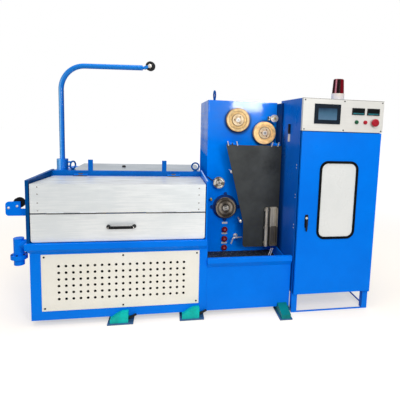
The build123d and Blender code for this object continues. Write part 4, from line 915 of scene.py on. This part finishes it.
# %% Floor and sky
floor_mesh = bpy.data.meshes.new("floor")
half = 30.0
floor_corners = [(-half, -half, 0), (half, -half, 0), (half, half, 0), (-half, half, 0)]
floor_mesh.from_pydata(floor_corners, [], [(0, 1, 2, 3)])
floor = bpy.data.objects.new("floor", floor_mesh)
bpy.context.scene.collection.objects.link(floor)


def seen_directly(tree):
    """1 for rays from the camera or through a pane, 0.5 for mirrored ones, and 0 for light on the object."""
    rays = add(tree, "LightPath").outputs
    clear = calc("MAXIMUM", rays["Is Camera Ray"], rays["Is Transmission Ray"])
    return calc("MAXIMUM", clear, calc("MULTIPLY", rays["Is Glossy Ray"], 0.5))


# Pale matt floor: warm grey near the machine, where the shadow lies, and glowing white far off.
ground = start_material("pale_floor", Roughness=0.85, Emission_Color=(1, 1, 1, 1))
far = mapped(vector("LENGTH", ground.coords), 1.8, 4.5)
lift = mapped(far, 0.0, 1.0, 0.47, 1.0)
feed(ground.bsdf, Base_Color=blend(far, paint("#d5cbbd"), (0, 0, 0, 1)),
     Emission_Strength=calc("MULTIPLY", lift, seen_directly(ground.tree)))
floor.data.materials.append(ground.material)

world = bpy.data.worlds.new("studio")
bpy.context.scene.world = world
world.use_nodes = True
sky = world.node_tree.nodes["Background"]
sky.inputs["Color"].default_value = (1, 1, 1, 1)
sky_light = 0.45
feed(sky, Strength=mapped(seen_directly(world.node_tree), 0.0, 1.0, sky_light, 1.0))
print("floor and sky ready")

# %% [markdown]
# Five soft lamps light the machine. The broad front and top boxes carry most of the light. The glare box is
# placed where the polished housing mirrors it, the strip lights the left edge of the jib's pipe beside its
# painted highlight, and a small box with a grid lifts the wheels beside the cabinet out of its shade.

# %% Lamps


def soft_box(name, place, aim, size, power, spread=180):
    """Rectangular area lamp at place, turned to face aim: power in watts, and its spread in degrees."""
    lamp = bpy.data.lights.new(name, "AREA")
    lamp.shape = "RECTANGLE"
    lamp.size, lamp.size_y = size
    lamp.energy = power
    lamp.spread = math.radians(spread)
    holder = bpy.data.objects.new(name, lamp)
    bpy.context.scene.collection.objects.link(holder)
    direction = Vector(aim) - Vector(place)
    holder.matrix_world = Matrix.Translation(place) @ direction.to_track_quat("-Z", "Y").to_matrix().to_4x4()
    print(name, "watts:", power)


soft_box("front_box", (-0.3, -4.2, 3.5), (0, 0, 0.7), (2.6, 1.4), 66)
soft_box("glare_box", (1.49, -4.65, 2.0), (0.5, -0.1, 1.5), (0.95, 0.8), 58)
soft_box("top_box", (0, -0.8, 4.6), (0, -0.3, 0), (4.0, 3.0), 95)
soft_box("wheel_box", (-1.2, -4.4, 1.9), (0.57, -0.3, 1.36), (0.2, 0.2), 0.13, 5)
soft_box("strip_box", (-5.6, -0.7, 1.6), (-1.06, -0.03, 1.4), (0.6, 2.6), 20)

# %% [markdown]
# ## Camera
# The camera was fitted to points on the base, tank and cabinet in the photograph: three angles, a place, a
# focal length in pixels and the pixel that the lens axis meets. Lens shifts move that pixel off the
# picture's middle.

# %% Camera at the photograph's angle
yaw, pitch, roll = np.radians([11.078, 6.632, 2.073])
picture, focal, axis_pixel = 400, 374.76, (242.85, 165.07)
forward = np.array([math.sin(yaw) * math.cos(pitch), math.cos(yaw) * math.cos(pitch), -math.sin(pitch)])
level_right = np.array([math.cos(yaw), -math.sin(yaw), 0.0])
level_up = np.cross(level_right, forward)
right = level_right * math.cos(roll) + level_up * math.sin(roll)
up = -level_right * math.sin(roll) + level_up * math.cos(roll)
camera = bpy.data.cameras.new("camera")
camera.sensor_width = 36.0
camera.lens = focal / picture * camera.sensor_width
camera.shift_x = (picture / 2 - axis_pixel[0]) / picture
camera.shift_y = (axis_pixel[1] - picture / 2) / picture
camera.clip_end = 200
viewer = bpy.data.objects.new("camera", camera)
bpy.context.scene.collection.objects.link(viewer)
turn = Matrix([right.tolist(), up.tolist(), (-forward).tolist()]).transposed().to_4x4()
viewer.matrix_world = Matrix.Translation(at(882.4, -2546.7, 1397.3).tolist()) @ turn
bpy.context.scene.camera = viewer
bpy.context.scene.view_settings.view_transform = "Standard"
print("camera at", [round(v, 3) for v in viewer.location])
